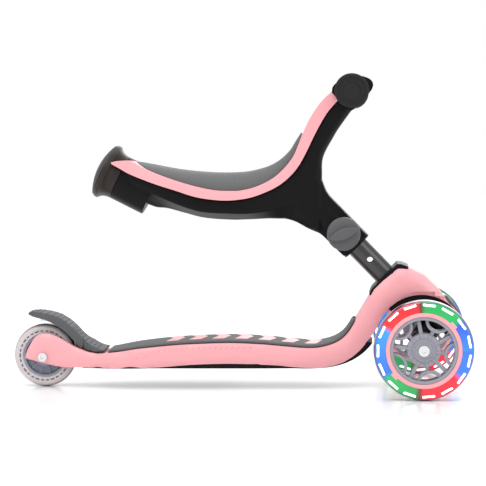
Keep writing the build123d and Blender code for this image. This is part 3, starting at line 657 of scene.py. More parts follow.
def make_deck_shell(sizes):
    """The deck, rear fork, riser and head in one moulding, with ribs along its sides."""
    axle = (FRONT_AXLE["right"].x / MM, FRONT_AXLE["right"].z / MM)
    outline = joined_outline(
        smooth_line(ARM_TOP), smooth_line(DECK_RIM), [(169.5, 124.8)], [(184.4, 139.3)], smooth_line(BROW),
        arc(axle, ARCH_RADIUS, 38, 162, 24), smooth_line(BELLY))
    bm = bmesh.new()
    add_panel(bm, outline, lambda x, z: deck_half(outline, x, z), sizes.deck_rim, cuts=6.0, grid=True)
    deck = new_object(bm, "deck_shell_skin")
    cutter = bmesh.new()
    rear = (REAR_AXLE.x / MM, REAR_AXLE.z / MM)
    slot = arc(rear, SLOT_RADIUS, -90, 90, 24)
    slot += [(-330, rear[1] + SLOT_RADIUS), (-330, rear[1] - SLOT_RADIUS)]
    recess = [(rear[0], 31.5), (-173, 31.5), (-173, 90), (rear[0], 90)]
    for room in (slot, recess):
        add_panel(cutter, room, lambda x, z: FORK_INNER, 0)
    add_button_room(cutter)
    cut(deck, new_object(cutter, "slot_tool"))
    bm = reopened(deck)
    for n in range(sizes.deck_ribs):
        x = -138 + 150 * n / max(sizes.deck_ribs - 1, 1)
        z = rim_height(x) - 7.0
        half = deck_half(outline, x, z)
        for side in (-1, 1):
            place = Matrix.Translation(Vector((x, side * (half - 0.62), z)) * MM)
            add_block(bm, (12.0, 1.7, 1.5), place @ Matrix.Rotation(math.radians(-48), 4, "Y"), 0.5, 2)
    write_back(bm, deck)
    finish(deck, MATERIALS["pink_plastic"], "chassis", ["deck_shell"])


def cut(piece, tool):
    """Take a tool's shape out of a piece, and remove the tool."""
    boolean = piece.modifiers.new("Boolean", "BOOLEAN")
    boolean.operation = "DIFFERENCE"
    boolean.solver = "EXACT"
    boolean.use_self = True
    boolean.object = tool
    applied(piece)
    mesh = tool.data
    bpy.data.objects.remove(tool)
    bpy.data.meshes.remove(mesh)


def rim_height(x):
    """The height of the deck's rim at a place along it, in mm."""
    line = smooth_line(DECK_RIM, 8)
    for first, second in zip(line, line[1:]):
        if first.x <= x <= second.x:
            return first.y + (second.y - first.y) * (x - first.x) / max(second.x - first.x, 1e-6)
    return line[0].y if x < line[0].x else line[-1].y


def mat_lift(x, y, sizes):
    """How far the mat's top stands above the deck's rim at a place on it."""
    across = min(abs(y) / value_along(MAT_PLAN, x), 1.0)
    crown = sizes.mat_crown * min(1.0, (x + 166) / 40) * (1 - across ** 2)
    edge = max(0.0, (across - 0.93) / 0.07)
    return sizes.mat_lift + max(crown, 0.0) - 1.5 * edge ** 2


def make_mat(sizes):
    """The rubber mat, following the deck's rim, with a crown across it."""
    bm = bmesh.new()
    line = [p for p in smooth_line(DECK_RIM, 10) if -166 < p.x < 146.2]
    rows = 56
    made = bmesh.ops.create_grid(bm, x_segments=len(line) - 1, y_segments=rows, size=1.0)
    for vert in made["verts"]:
        i = round((vert.co.x + 1) / 2 * (len(line) - 1))
        ahead = line[min(i + 1, len(line) - 1)] - line[max(i - 1, 0)]
        up = Vector((-ahead.y, ahead.x)).normalized()
        y = vert.co.y * value_along(MAT_PLAN, line[i].x)
        lift = mat_lift(line[i].x, y, sizes)
        if i in (0, len(line) - 1):
            lift -= 1.0
        spot = line[i] + up * lift
        vert.co = Vector((spot.x, y, spot.y)) * MM
    bmesh.ops.recalc_face_normals(bm, faces=bm.faces)
    mat = new_object(bm, "deck_mat_top")
    if mat.data.polygons[0].normal.z < 0:
        mat.data.flip_normals()
    thick = mat.modifiers.new("Solidify", "SOLIDIFY")
    thick.thickness = 0.0056
    thick.offset = -1.0
    applied(mat)
    finish(mat, MATERIALS["mat_rubber"], "chassis", ["deck_mat"], crease=50)


def make_chevrons(sizes):
    """Raised pink chevrons along the mat."""
    bm = bmesh.new()
    low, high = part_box("deck_mat_inlay")
    count = 7
    pitch = ((high.x - low.x) / MM - 19) / (count - 1)
    for n in range(count):
        for side in (-1, 1):
            made = bmesh.ops.create_grid(bm, x_segments=5, y_segments=10, size=1.0)
            for vert in made["verts"]:
                across = (vert.co.y + 1) / 2
                y = side * 24 * across
                x = low.x / MM + n * pitch + 7 * (1 - across) + 15 * (vert.co.x + 1) / 2
                z = rim_height(x) + mat_lift(x, y, sizes) + 0.4
                vert.co = Vector((x, y, z)) * MM
    bmesh.ops.remove_doubles(bm, verts=bm.verts, dist=1e-5)
    chevrons = new_object(bm, "mat_chevrons")
    for polygon in chevrons.data.polygons:
        if polygon.normal.z < 0:
            polygon.flip()
    thick = chevrons.modifiers.new("Solidify", "SOLIDIFY")
    thick.thickness = 0.0011
    thick.offset = -1.0
    applied(chevrons)
    finish(chevrons, MATERIALS["pink_plastic"], "chassis", ["deck_mat_inlay"])


def make_head():
    """The collar at the head's mouth, and worn copies of the housing, truck and button spring."""
    bm = bmesh.new()
    outline = [(166.2, 117.0), (163.2, 117.8), (164.6, 122.0), (166.4, 125.4), (169.3, 128.6), (184.0, 142.8),
               (198.3, 156.6), (203.6, 156.2), (212.3, 152.8), (211.3, 150.0), (204, 150.0), (199.3, 150.8),
               (170.2, 122.6)]
    add_panel(bm, outline, lambda x, z: 29.0, 0.9, cuts=20.0)
    collar = new_object(bm, "head_collar_skin")
    hole = bmesh.new()
    add_lathe(hole, [(0.2, -12), (14.45, -12), (14.45, 14), (0.2, 14)], MOUTH, 64, COLUMN_DIRECTION)
    cut(collar, new_object(hole, "column_room"))
    finish(collar, MATERIALS["black_plastic"], "chassis", ["head_collar"])
    for node, body in (("head_housing", "chassis"), ("truck_beam", "truck")):
        piece = soften(node, 1.3, 3)
        if node == "head_housing":
            room = bmesh.new()
            add_button_room(room)
            cut(piece, new_object(room, "button_room"))
        finish(piece, MATERIALS["black_plastic"], body, [node], crease=80)
    coil = soften("lock_button_spring", 0.25, 1)
    finish(coil, MATERIALS["bright_steel"], "chassis", ["lock_button_spring"], crease=80)
    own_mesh(coil)


# ---- seat frame -----------------------------------------------------------------------------------
FRAME_STATIONS = [
    # belly, crease and top points, then the half widths there
    ((-147.0, 250.0), (-148.5, 270.5), (-151.0, 279.6), 13, 24, 25),
    ((-128.0, 238.0), (-131.4, 259.6), (-134.0, 270.6), 13, 30, 31),
    ((-106.0, 228.3), (-108.6, 247.5), (-112.0, 261.6), 14, 34, 35.5),
    ((-90.0, 226.4), (-90.6, 239.0), (-93.0, 255.2), 14, 36, 37.5),
    ((-67.0, 220.2), (-66.6, 229.3), (-69.0, 247.4), 15, 38, 38.5),
    ((-42.8, 214.2), (-42.6, 223.1), (-44.0, 240.4), 16, 38.5, 38.5),
    ((-10.6, 211.6), (-10.4, 221.2), (-11.0, 237.6), 16, 38, 38),
    ((13.0, 211.9), (13.0, 220.7), (13.0, 240.2), 16, 35.5, 36),
    ((38.0, 213.0), (37.0, 224.2), (34.0, 246.8), 16, 30.5, 32),
    ((58.0, 213.0), (57.0, 229.0), (51.3, 255.2), 16, 25, 28),
    ((80.0, 219.0), (76.0, 236.0), (64.8, 266.2), 16, 21, 24.5),
    ((99.0, 240.0), (93.0, 252.0), (75.4, 278.6), 15, 19.5, 21.5),
    ((104.3, 261.5), (98.0, 269.0), (84.6, 294.6), 14, 19.5, 20.5),
    ((105.8, 288.6), (102.0, 293.5), (95.2, 316.2), 13, 19, 20),
    ((119.7, 315.4), (116.0, 319.0), (104.5, 333.4), 13, 19, 20),
    ((127.8, 328.2), (124.0, 332.0), (112.9, 346.6), 14, 19.5, 20),
    ((143.0, 349.0), (138.0, 353.0), (126.0, 361.2), 14, 20, 20),
]
WEB_UNDER = [(56, 212.8), (64.3, 211.2), (73.7, 207.7), (84.6, 201.4), (95.6, 196.3), (102.6, 193.4),
             (111.2, 185.5), (117.5, 179.0), (132.5, 164.6)]
WEB_FRONT = [(161.7, 190.9), (138, 215.8), (127.1, 227.5), (114.6, 240.3), (109.2, 248.4), (104.5, 260.9)]
CREASE = [(56, 228.4), (64.5, 228), (73.9, 224.4), (81.7, 217.3), (87.9, 209.4), (95.7, 201.5), (102.7, 194)]


def between(stations, t):
    """All of a station's numbers at a place between stations, eased through its neighbours."""
    i = min(int(t), len(stations) - 2)
    f = t - i
    flat = [[value for item in station for value in (item if isinstance(item, tuple) else (item,))]
            for station in stations]
    p0, p1, p2, p3 = (flat[max(i - 1, 0)], flat[i], flat[i + 1], flat[min(i + 2, len(flat) - 1)])
    out = []
    for a, b, c, d in zip(p0, p1, p2, p3):
        out.append(0.5 * (2 * b + (c - a) * f + (2 * a - 5 * b + 4 * c - d) * f * f
                          + (3 * b - a - 3 * c + d) * f ** 3))
    return out


def frame_ring(values):
    """A section of the seat frame: a rounded belly, sides sloping out to a crease, upright above it."""
    low, crease, high = Vector(values[0:2]), Vector(values[2:4]), Vector(values[4:6])
    low_half, crease_half, high_half = values[6:9]
    side = [(0.0, low), (0.75 * low_half, low), (0.96 * low_half, low.lerp(crease, 0.08)),
            (low_half + 0.08 * (crease_half - low_half), low.lerp(crease, 0.2)),
            (low_half + 0.55 * (crease_half - low_half), low.lerp(crease, 0.6)), (crease_half, crease),
            (crease_half + 0.3 * (high_half - crease_half), crease.lerp(high, 0.3)),
            (high_half, crease.lerp(high, 0.9)), (high_half - 1.5, high), (0.0, high)]
    ring = [(-y, spot) for y, spot in side] + [(y, spot) for y, spot in reversed(side[1:-1])]
    return [Vector((spot.x, y, spot.y)) * MM for y, spot in ring]


def web_half(x, z):
    """The half width of the web between arm and sleeve, sloping in below the crease."""
    if x > 102.7:
        return 17.0
    under = distance_to([Vector(p) for p in WEB_UNDER], x, z, closed=False)
    above = distance_to([Vector(p) for p in CREASE], x, z, closed=False)
    line = next((a, b) for a, b in zip(CREASE, CREASE[1:]) if x <= b[0])
    level = line[0][1] + (line[1][1] - line[0][1]) * (x - line[0][0]) / (line[1][0] - line[0][0])
    return 20.0 if z >= level else 12.0 + 8.0 * under / max(under + above, 1e-6)


def make_frame_shell(sizes):
    """The seat frame: one smooth skin, with a crisp sleeve end and socket added after."""
    bm = bmesh.new()
    steps = 80
    last = len(FRAME_STATIONS) - 1
    add_rings(bm, [frame_ring(between(FRAME_STATIONS, last * i / steps)) for i in range(steps + 1)])
    add_lathe(bm, [(17.0, 53.2), (20.0, 53.2), (20.2, 56), (20.2, 100), (16.6, 150), (16.6, 53.2)],
              MOUTH, 64, COLUMN_DIRECTION)
    web = joined_outline(smooth_line(WEB_UNDER, 3), smooth_line(WEB_FRONT, 3), [(90, 262), (66, 258)])
    add_panel(bm, web, web_half, 2.5, cuts=4.0, grid=True)
    boss = Vector((PIN.x, 0, PIN.z))
    for side in (-1, 1):
        add_lathe(bm, [(0.5, side * 23.6), (14.0, side * 23.6), (15.4, side * 22), (17.5, side * 14), (17.5, 0),
                       (0.5, 0)], boss, 64)
    add_lathe(bm, [(16.0, -62.5), (27.5, -62.5), (28.3, -60), (28.3, -20), (16.0, -20)], SOCKET_RIM, 96,
              SOCKET_DIRECTION)
    frame_shell = new_object(bm, "seat_frame_shell")
    rounded(frame_shell, sizes.frame_voxel, 3)
    bm = reopened(frame_shell)
    add_lathe(bm, [(15.2, 51.8), (19.6, 51.8), (20.2, 52.4), (20.2, 62), (18.0, 66), (15.2, 66)],
              MOUTH, 96, COLUMN_DIRECTION)
    add_lathe(bm, [(0.5, -64.0), (27.6, -64.0), (28.5, -63.1), (28.5, -19.6), (27.9, -19.1), (21.0, -19.1),
                   (21.0, -40), (0.5, -40)], SOCKET_RIM, 96, SOCKET_DIRECTION)
    write_back(bm, frame_shell)
    finish(frame_shell, MATERIALS["black_plastic"], "seat_frame",
           ["frame_shell_right", "frame_shell_left"], crease=40)


def make_saddle():
    """The saddle's pink trim and its padded seat."""
    bm = bmesh.new()
    outline = joined_outline(smooth_line(TRIM_UNDER), list(reversed(smooth_line(TRIM_OVER))))
    add_panel(bm, outline, lambda x, z: value_along(SADDLE_PLAN, x), 2.6, cuts=6.0)
    trim = new_object(bm, "saddle_trim_skin")
    finish(trim, MATERIALS["pink_plastic"], "seat_frame", ["saddle_trim"])
    stations = [
        ((-127.0, 281.0), (-128.0, 285.4), 22), ((-121.0, 278.0), (-120.6, 284.0), 31),
        ((-106.2, 270.0), (-105.6, 281.2), 38), ((-76.0, 259.5), (-75.0, 275.4), 42),
        ((-40.0, 250.4), (-38.0, 271.6), 42), ((-7.2, 247.8), (-8.0, 270.9), 41),
        ((22.0, 252.4), (15.0, 272.8), 37), ((44.0, 263.0), (36.5, 278.4), 31.5),
        ((58.0, 275.6), (52.0, 286.8), 26.5), ((70.0, 291.6), (64.5, 298.6), 22.5),
        ((76.0, 305.6), (72.1, 310.6), 20), ((80.6, 317.6), (78.6, 320.5), 15)]
    bm = bmesh.new()
    steps = 72
    rings = []
    for i in range(steps + 1):
        x0, z0, x1, z1, half = between(stations, (len(stations) - 1) * i / steps)
        low, high = Vector((x0, z0)), Vector((x1, z1))
        ring = []
        for k in range(36):
            a = math.tau * k / 36
            h = power(math.sin(a), 0.75)
            if h < 0:
                h *= 0.25
            spot = low.lerp(high, h)
            ring.append(Vector((spot.x, half * power(math.cos(a), 0.6), spot.y)) * MM)
        rings.append(ring)
    add_rings(bm, rings)
    pad = new_object(bm, "seat_pad_foam")
    finish(pad, MATERIALS["pad_foam"], "seat_frame", ["seat_pad"], crease=70)


def make_socket_plug():
    """The domed plug with its flared skirt, at the rear of the seat frame."""
    bm = bmesh.new()
    face = [(0.4, 12.0)]
    for i in range(1, 13):
        r = 33.5 * i / 12
        face.append((r, -61 + math.sqrt(73 ** 2 - r ** 2)))
    for r in (23.0, 29.0):
        height = -61 + math.sqrt(73 ** 2 - r ** 2)
        face += [(r - 0.6, height), (r - 0.3, height - 0.6), (r + 0.3, height - 0.6), (r + 0.6, height - 0.1)]
    add_lathe(bm, sorted(face) + [(34.3, 1.5), (35.5, 0.6), (35.5, -3.6), (32.4, -6.3), (30.2, -9.5),
                                  (28.9, -14), (28.6, -18.2), (28.0, -18.9), (19.8, -18.9), (19.8, -31),
                                  (17, -31), (17, -3), (0.4, -3)],
              SOCKET_RIM, 96, SOCKET_DIRECTION)
    plug = new_object(bm, "socket_cap")
    finish(plug, MATERIALS["cap_plastic"], "seat_frame", ["socket_plug"], crease=25)


# ---- handlebar ------------------------------------------------------------------------------------
def make_handlebar():
    """The hub on the arm's end and the two ridged grips."""
    bm = bmesh.new()
    nose = [(117.6, 370.6), (119.0, 377.0), (124, 382.4), (133.8, 389.6), (146, 391.2), (157.7, 389.4),
            (166.0, 385.4), (169.1, 379.3), (166.5, 372.5), (158, 362), (148.8, 351.9), (141.5, 347.2)]
    outline = joined_outline(smooth_line(nose, 4), [(141.5, 347.2), (126.2, 360.0), (117.6, 370.6)])
    add_panel(bm, outline, lambda x, z: 30.0 - 3.5 * max(0.0, (366 - z) / 20), 4.5, cuts=10.0)
    hub = new_object(bm, "handlebar_hub_skin")
    finish(hub, MATERIALS["black_plastic"], "seat_frame", ["handlebar_hub"])
    start = 31.0
    end = BAR_END / MM
    for name, side in (("right", -1), ("left", 1)):
        bm = bmesh.new()
        profile = [(9.6, start), (17.4, start), (18.2, start + 1), (18.2, start + 4), (17.2, start + 5.2),
                   (15.2, start + 6)]
        ridges = 20
        length = end - 13 - (start + 6)
        for i in range(ridges):
            d = start + 6 + length * (i + 0.25) / ridges
            profile += [(15.2, d), (15.9, d + length * 0.2 / ridges), (15.9, d + length * 0.5 / ridges),
                        (15.2, d + length * 0.7 / ridges)]
        disc = [(15.2, 12.5), (18.5, 11.5), (20.2, 9.8), (20.7, 8), (20.7, 2.4), (19.9, 0.8), (18.2, 0.2),
                (17.0, 0.2), (16.4, 1.2), (12.8, 1.2), (12.2, 0.4), (11.0, 0.4), (10.4, 1.4), (0.4, 1.4),
                (0.4, 4), (9.6, 4)]
        profile += [(r, end - inwards) for r, inwards in disc]
        add_lathe(bm, [(r, side * d) for r, d in profile], Vector((BAR.x, 0, BAR.z)), 72)
        grip = new_object(bm, f"grip_{name}_skin")
        finish(grip, MATERIALS["grip_rubber"], "seat_frame",
               [f"grip_{name}", f"bar_plug_{name}"], crease=40)


def make_knob():
    """The height lock's knob: a disc with a lens-shaped bar to turn it by."""
    bm = bmesh.new()
    spot = Vector((PIN.x, 0, PIN.z))
    add_lathe(bm, [(0.4, -24.2), (19.0, -24.2), (20.3, -25.2), (20.9, -26.8), (20.9, -29.4), (20.3, -30.8),
                   (18.8, -31.6), (10.0, -32.2), (0.4, -32.4)], spot, 96)
    lean = math.radians(20)
    lens = []
    for i in range(48):
        a = math.tau * i / 48
        x, z = 18 * math.cos(a), 7 * power(math.sin(a), 1.25)
        lens.append((spot.x / MM + x * math.cos(lean) - z * math.sin(lean),
                     spot.z / MM + x * math.sin(lean) + z * math.cos(lean)))
    add_panel(bm, lens, lambda x, z: 4.6, 1.6, segments=4, cuts=60.0, middle_y=-35.0)
    knob = new_object(bm, "lock_knob_skin")
    finish(knob, MATERIALS["dark_grey_plastic"], "height_lock", ["lock_knob"])


# ---- wheels ---------------------------------------------------------------------------------------
def turn_about(centre, degrees):
    """A turn about a wheel's axle, anticlockwise as seen from the rider's right."""
    return Matrix.Translation(centre) @ Matrix.Rotation(math.radians(-degrees), 4, "Y")


def make_front_wheel(side):
    """A front wheel: cast tyre, light bars, trim ring, spoked core and bearings."""
    centre = FRONT_AXLE[side]
    body = f"front_wheel_{side}"
    half = TYRE_HALF / MM
    outer = FRONT_RADIUS / MM
    bm = bmesh.new()
    section = [(45.2, -half + 1), (46.0, -half)] + [(56.0, -half)]
    for i in range(1, 12):
        a = math.radians(-90 + 180 * i / 12)
        section.append((56.0 + (outer - 56.0) * math.cos(a) ** 0.8, half * math.sin(a)))
    section += [(56.0, half), (46.0, half), (45.2, half - 1)]
    add_lathe(bm, section, centre, 120)
    tyre = new_object(bm, f"tyre_{side}")
    finish(tyre, MATERIALS[f"lit_tyre_{side}"], body, [f"front_tyre_{side}"])
    bm = bmesh.new()
    for n in range(15):
        place = turn_about(centre, 83.6 + 24 * n) @ Matrix.Translation((0.0548, 0, 0))
        add_block(bm, (5.0, 2 * half + 0.5, 17.7), place, 2.2, 4)
    lights = new_object(bm, f"light_bars_{side}")
    finish(lights, MATERIALS["white_light"], body, [f"tyre_lights_{side}"])
    bm = bmesh.new()
    add_lathe(bm, rounded_profile(45.6, 40.6, half + 0.5, 0.9), centre, 120)
    for angle in (41, 221):
        place = turn_about(centre, angle) @ Matrix.Translation((0.0462, 0, 0))
        add_block(bm, (4.2, 2 * half + 1.0, 9.0), place, 0.5, 2)
    trim = new_object(bm, f"trim_ring_{side}")
    finish(trim, MATERIALS["pink_plastic"], body, [f"wheel_trim_{side}"])
    bm = bmesh.new()
    add_lathe(bm, rounded_profile(40.7, 36.6, half - 0.4, 1.0), centre, 120)
    add_lathe(bm, [(6.6, -7.2), (19.4, -7.2), (20.2, -6.4), (20.2, 6.4), (19.4, 7.2), (6.6, 7.2)], centre, 96)
    add_lathe(bm, rounded_profile(13.6, 11.0, 10.0, 0.8), centre, 72)
    for n in range(5):
        straight = turn_about(centre, 100 + 72 * n)
        add_block(bm, (21, 13, 4.6), straight @ Matrix.Translation((0.0275, 0, 0)), 1.2, 3)
        add_block(bm, (8, 17, 3.0), straight @ Matrix.Translation((0.0165, 0, 0)), 0.9, 2)
        fan = turn_about(centre, 64 + 72 * n)
        add_block(bm, (10, 11, 4.4), fan @ Matrix.Translation((0.0225, 0, 0)), 1.2, 3)
        add_block(bm, (8, 17, 3.0), fan @ Matrix.Translation((0.0165, 0, 0)), 0.9, 2)
        cup = bmesh.new()
        made = bmesh.ops.create_grid(cup, x_segments=1, y_segments=1, size=0.5)
        for vert in made["verts"]:
            vert.co = Vector((0.0138 + vert.co.x * 0.0036, vert.co.y * 0.0145, 0))
        bmesh.ops.spin(cup, geom=cup.verts[:] + cup.edges[:] + cup.faces[:], cent=(0, 0, 0), axis=(0, 1, 0),
                       angle=math.radians(176), steps=28, use_merge=False, use_duplicate=False)
        bmesh.ops.recalc_face_normals(cup, faces=cup.faces)
        rims = [e for e in cup.edges if len(e.link_faces) == 2 and e.calc_face_angle(0) > 1.0]
        bmesh.ops.bevel(cup, geom=rims, offset=0.0009, segments=2, profile=0.5, affect="EDGES", material=-1)
        place = fan @ Matrix.Translation((0.0400, 0, 0)) @ Matrix.Rotation(math.radians(88), 4, "Y")
        bmesh.ops.transform(cup, matrix=place, verts=cup.verts)
        mesh = bpy.data.meshes.new("cup")
        cup.to_mesh(mesh)
        cup.free()
        bm.from_mesh(mesh)
        bpy.data.meshes.remove(mesh)
    core = new_object(bm, f"spoked_core_{side}")
    finish(core, MATERIALS["wheel_grey"], body, [f"front_core_{side}"])
    make_bearings(centre, body, f"front_bearings_{side}")


def make_bearings(centre, body, node):
    """A wheel's two bearings: rings with a seal between them, all in the seal's grey."""
    bm = bmesh.new()
    for side in (-1, 1):
        section = [(4.3, 9.8), (5.6, 9.8), (5.9, 9.3), (9.2, 9.3), (9.5, 9.8), (10.6, 9.8), (10.9, 9.5),
                   (10.9, 3.2), (4.3, 3.2)]
        add_lathe(bm, [(r, side * d) for r, d in section], centre, 64)
    bearings = new_object(bm, node + "_skin")
    finish(bearings, MATERIALS["seal_grey"], body, [node])


def make_rear_wheel(sizes):
    """The rear wheel: cast tyre with dashes, ribbed core and bearings."""
    half = TYRE_HALF / MM
    outer = REAR_RADIUS / MM
    bm = bmesh.new()
    section = [(27.2, -half + 1), (28.0, -half), (32.5, -half)]
    for i in range(1, 14):
        a = math.radians(-90 + 180 * i / 14)
        section.append((32.5 + (outer - 32.5) * math.cos(a) ** 0.75, half * math.sin(a)))
    section += [(32.5, half), (28.0, half), (27.2, half - 1)]
    add_lathe(bm, section, REAR_AXLE, 108)
    tyre = new_object(bm, "rear_tyre_cast")
    finish(tyre, MATERIALS["smoky_tyre"], "rear_wheel", ["rear_tyre"])
    bm = bmesh.new()
    for n in range(sizes.tyre_dashes):
        turn = turn_about(REAR_AXLE, 360 * n / max(sizes.tyre_dashes, 1))
        length = 3.4 if n % 3 else 5.2
        for side in (-1, 1):
            place = Matrix.Translation(Vector((31.4, side * half, 0)) * MM)
            add_block(bm, (1.8, 0.5, length), turn @ place, 0.2, 1)
    dashes = new_object(bm, "rear_tyre_dashes")
    finish(dashes, MATERIALS["dark_grey_plastic"], "rear_wheel")
    bm = bmesh.new()
    add_lathe(bm, [(8.6, -10), (13.8, -10), (14.4, -9), (14.4, -7), (16, -5.4), (23, -5.4), (24.4, -7),
                   (24.6, -half + 1), (27.1, -half + 1), (27.1, half - 1), (24.6, half - 1), (24.4, 7), (23, 5.4),
                   (16, 5.4), (14.4, 7), (14.4, 9), (13.8, 10), (8.6, 10)], REAR_AXLE, 96)
    for n in range(12):
        turn = turn_about(REAR_AXLE, 15 + 30 * n)
        add_block(bm, (11, 16, 2.2), turn @ Matrix.Translation((0.0192, 0, 0)), 0.6, 2)
    core = new_object(bm, "rear_wheel_core")
    finish(core, MATERIALS["core_blue_grey"], "rear_wheel", ["rear_core"])
    make_bearings(REAR_AXLE, "rear_wheel", "rear_bearings")


def make_brake(sizes):
    """The ridged fender brake, hollowed over the rear tyre."""
    bm = bmesh.new()
    top = smooth_line(BRAKE_TOP, 4)
    under = smooth_line(BRAKE_UNDER, 3)
    slim = joined_outline(top, [(-170.2, 46.8)], under)
    add_panel(bm, slim, lambda x, z: 16.6, 1.2, cuts=10.0)
    wide = joined_outline([p for p in top if p.x < -193], [p for p in under if p.x < -200])
    plan = [(-269, 13), (-262, 18), (-250, 21.0), (-215, 21.4), (-196, 20.0)]
    add_panel(bm, wide, lambda x, z: value_along(plan, x), 1.4, cuts=6.0)
    foot = joined_outline([p for p in top if p.x > -197],
                          [(-170.2, 46.8), (-182, 46.4), (-190, 48.1), (-197, 50.4)])
    add_panel(bm, foot, lambda x, z: value_along([(-197, 21), (-188, 27.6)], x), 1.2, cuts=4.0)
    line = smooth_line(BRAKE_TOP, 8)
    for n in range(sizes.brake_ridges):
        i = round(6 + (len(line) - 20) * n / max(sizes.brake_ridges - 1, 1))
        ahead = line[i + 1] - line[i - 1]
        half = value_along([(-266, 14), (-250, 18.6), (-215, 18.6), (-196, 17.0), (-186, 20)], line[i].x)
        place = Matrix.Translation(Vector((line[i].x, 0, line[i].y)) * MM)
        place = place @ Matrix.Rotation(-math.atan2(ahead.y, ahead.x), 4, "Y")
        add_block(bm, (1.7, 2 * half, 1.5), place, 0.5, 2)
    fender = new_object(bm, "brake_fender_skin")
    cutter = bmesh.new()
    axle = (REAR_AXLE.x / MM, REAR_AXLE.z / MM)
    add_panel(cutter, arc(axle, 45.6, 0, 345, 46), lambda x, z: 13.6, 0, cuts=200.0)
    cut(fender, new_object(cutter, "tyre_room"))
    finish(fender, MATERIALS["brake_rubber"], "brake", ["brake_fender"])


def finish_frame_nodes():
    """Materials for the frame's own pieces that stay in view."""
    slots = {sub["node"]: sub["material_slot"] for sub in frame["record"]["subparts"]}
    finishes = {"pink_plastic": "pink_plastic", "black_plastic": "black_plastic", "black_tube": "tube_black",
                "dark_grey_rubber": "mat_rubber", "grey_foam": "pad_foam", "knob_grey": "dark_grey_plastic",
                "clear_tyre": "smoky_tyre", "white_light": "white_light", "wheel_grey": "wheel_grey",
                "zinc_steel": "bright_steel"}
    dark_steel = {"frame_screws", "lock_pin"}
    for name, node in frame["nodes"].items():
        node.data.materials.clear()
        made = "tube_black" if name in dark_steel else finishes[slots[name]]
        node.data.materials.append(MATERIALS[made])
        node.data.shade_smooth()
        node.data.set_sharp_from_angle(angle=math.radians(35))


# ---- stage ----------------------------------------------------------------------------------------
def make_stage(stage):
    """The camera, the floor and the lights."""
    azimuth = math.radians(stage.azimuth)
    elevation = math.radians(stage.elevation)
    roll = math.radians(stage.roll)
    level = math.cos(elevation)
    back = Vector((math.sin(azimuth) * level, -math.cos(azimuth) * level, math.sin(elevation)))
    right = Vector((math.cos(azimuth), math.sin(azimuth), 0))
    up = back.cross(right)
    right, up = right * math.cos(roll) + up * math.sin(roll), up * math.cos(roll) - right * math.sin(roll)
    camera = bpy.data.objects.new("camera", bpy.data.cameras.new("camera"))
    bpy.context.collection.objects.link(camera)
    place = Matrix((right, up, back)).transposed().to_4x4()
    place.translation = Vector(stage.eye)
    camera.matrix_world = place
    camera.data.lens = stage.lens
    camera.data.clip_end = 50
    bpy.context.scene.camera = camera
    bm = bmesh.new()
    bmesh.ops.create_grid(bm, x_segments=1, y_segments=1, size=6.0)
    floor = new_object(bm, "floor")
    material, tree, shader, place = new_material("pale_floor")
    set_sockets(shader, Base_Color=(0.94, 0.94, 0.94, 1), Roughness=0.16)
    floor.data.materials.append(material)
    world = bpy.data.worlds.new("studio")
    world.use_nodes = True
    world.node_tree.nodes["Background"].inputs["Color"].default_value = (1, 1, 1, 1)
    world.node_tree.nodes["Background"].inputs["Strength"].default_value = stage.sky
    bpy.context.scene.world = world
    bpy.context.scene.view_settings.view_transform = "Standard"
    for name, spot, size, watts in (("key", (-0.5, -1.2, 1.9), 1.4, 22), ("fill", (1.7, -1.0, 1.0), 1.2, 9),
                                    ("top", (0.0, 0.4, 2.2), 1.6, 16), ("rim", (0.4, 1.8, 1.0), 1.2, 10)):
        lamp = bpy.data.lights.new(name, "AREA")
        lamp.size = size
        lamp.energy = watts
        light = bpy.data.objects.new(name, lamp)
        light.location = spot
        light.rotation_euler = (Vector((0, 0, 0.18)) - Vector(spot)).to_track_quat("-Z", "Y").to_euler()
        bpy.context.collection.objects.link(light)


# ---- settings, operators and panel ------------------------------------------------------------------
def colour(name, text, default):
    return FloatVectorProperty(name=name, description=text, subtype="COLOR", size=4, min=0, max=1,
                               default=default)


class ScooterSizes(bpy.types.PropertyGroup):
    deck_rim: FloatProperty(name="Deck rim", description="Rounding of the deck's rims, in millimetres",
                            default=1.8, min=0)
    deck_ribs: IntProperty(name="Deck ribs", description="Slanted ribs along each side of the deck",
                           default=22, min=0)
    mat_lift: FloatProperty(name="Mat lift", description="Height of the mat over the deck's rim, in millimetres",
                            default=3.2, min=0.5)
    mat_crown: FloatProperty(name="Mat crown", description="Rise of the mat's middle, in millimetres",
                             default=1.6, min=0)
    brake_ridges: IntProperty(name="Brake ridges", description="Ridges across the fender brake",
                              default=18, min=0)
    tyre_dashes: IntProperty(name="Tyre dashes", description="Raised dashes round each side of the rear tyre",
                             default=30, min=0)
    frame_voxel: FloatProperty(name="Frame detail", description="Smallest detail of the seat frame, in millimetres",
                               default=1.5, min=0.5)


class ScooterColours(bpy.types.PropertyGroup):
    pink: colour("Pink", "Deck, saddle trim and wheel rings", (0.76, 0.33, 0.355, 1))
    black: colour("Black", "Seat frame and head", (0.0045, 0.0045, 0.0052, 1))
    cap: colour("Cap", "Socket plug", (0.017, 0.012, 0.010, 1))
    mat_grey: colour("Mat grey", "Deck mat and brake", (0.085, 0.088, 0.092, 1))
    grip: colour("Grip", "Handlebar grips", (0.012, 0.012, 0.013, 1))
    pad_grey: colour("Pad grey", "Seat pad", (0.105, 0.108, 0.108, 1))
    knob_grey: colour("Knob grey", "Height lock knob", (0.085, 0.085, 0.09, 1))
    wheel_grey: colour("Wheel grey", "Front wheel cores", (0.24, 0.24, 0.28, 1))
    core_grey: colour("Core grey", "Rear wheel core", (0.20, 0.22, 0.28, 1))
    seal_grey: colour("Seal grey", "Bearing seals", (0.27, 0.28, 0.31, 1))
    smoke: colour("Smoke", "Clear rear tyre", (0.66, 0.60, 0.61, 1))
    steel: colour("Steel", "Bolts and axles", (0.72, 0.73, 0.75, 1))


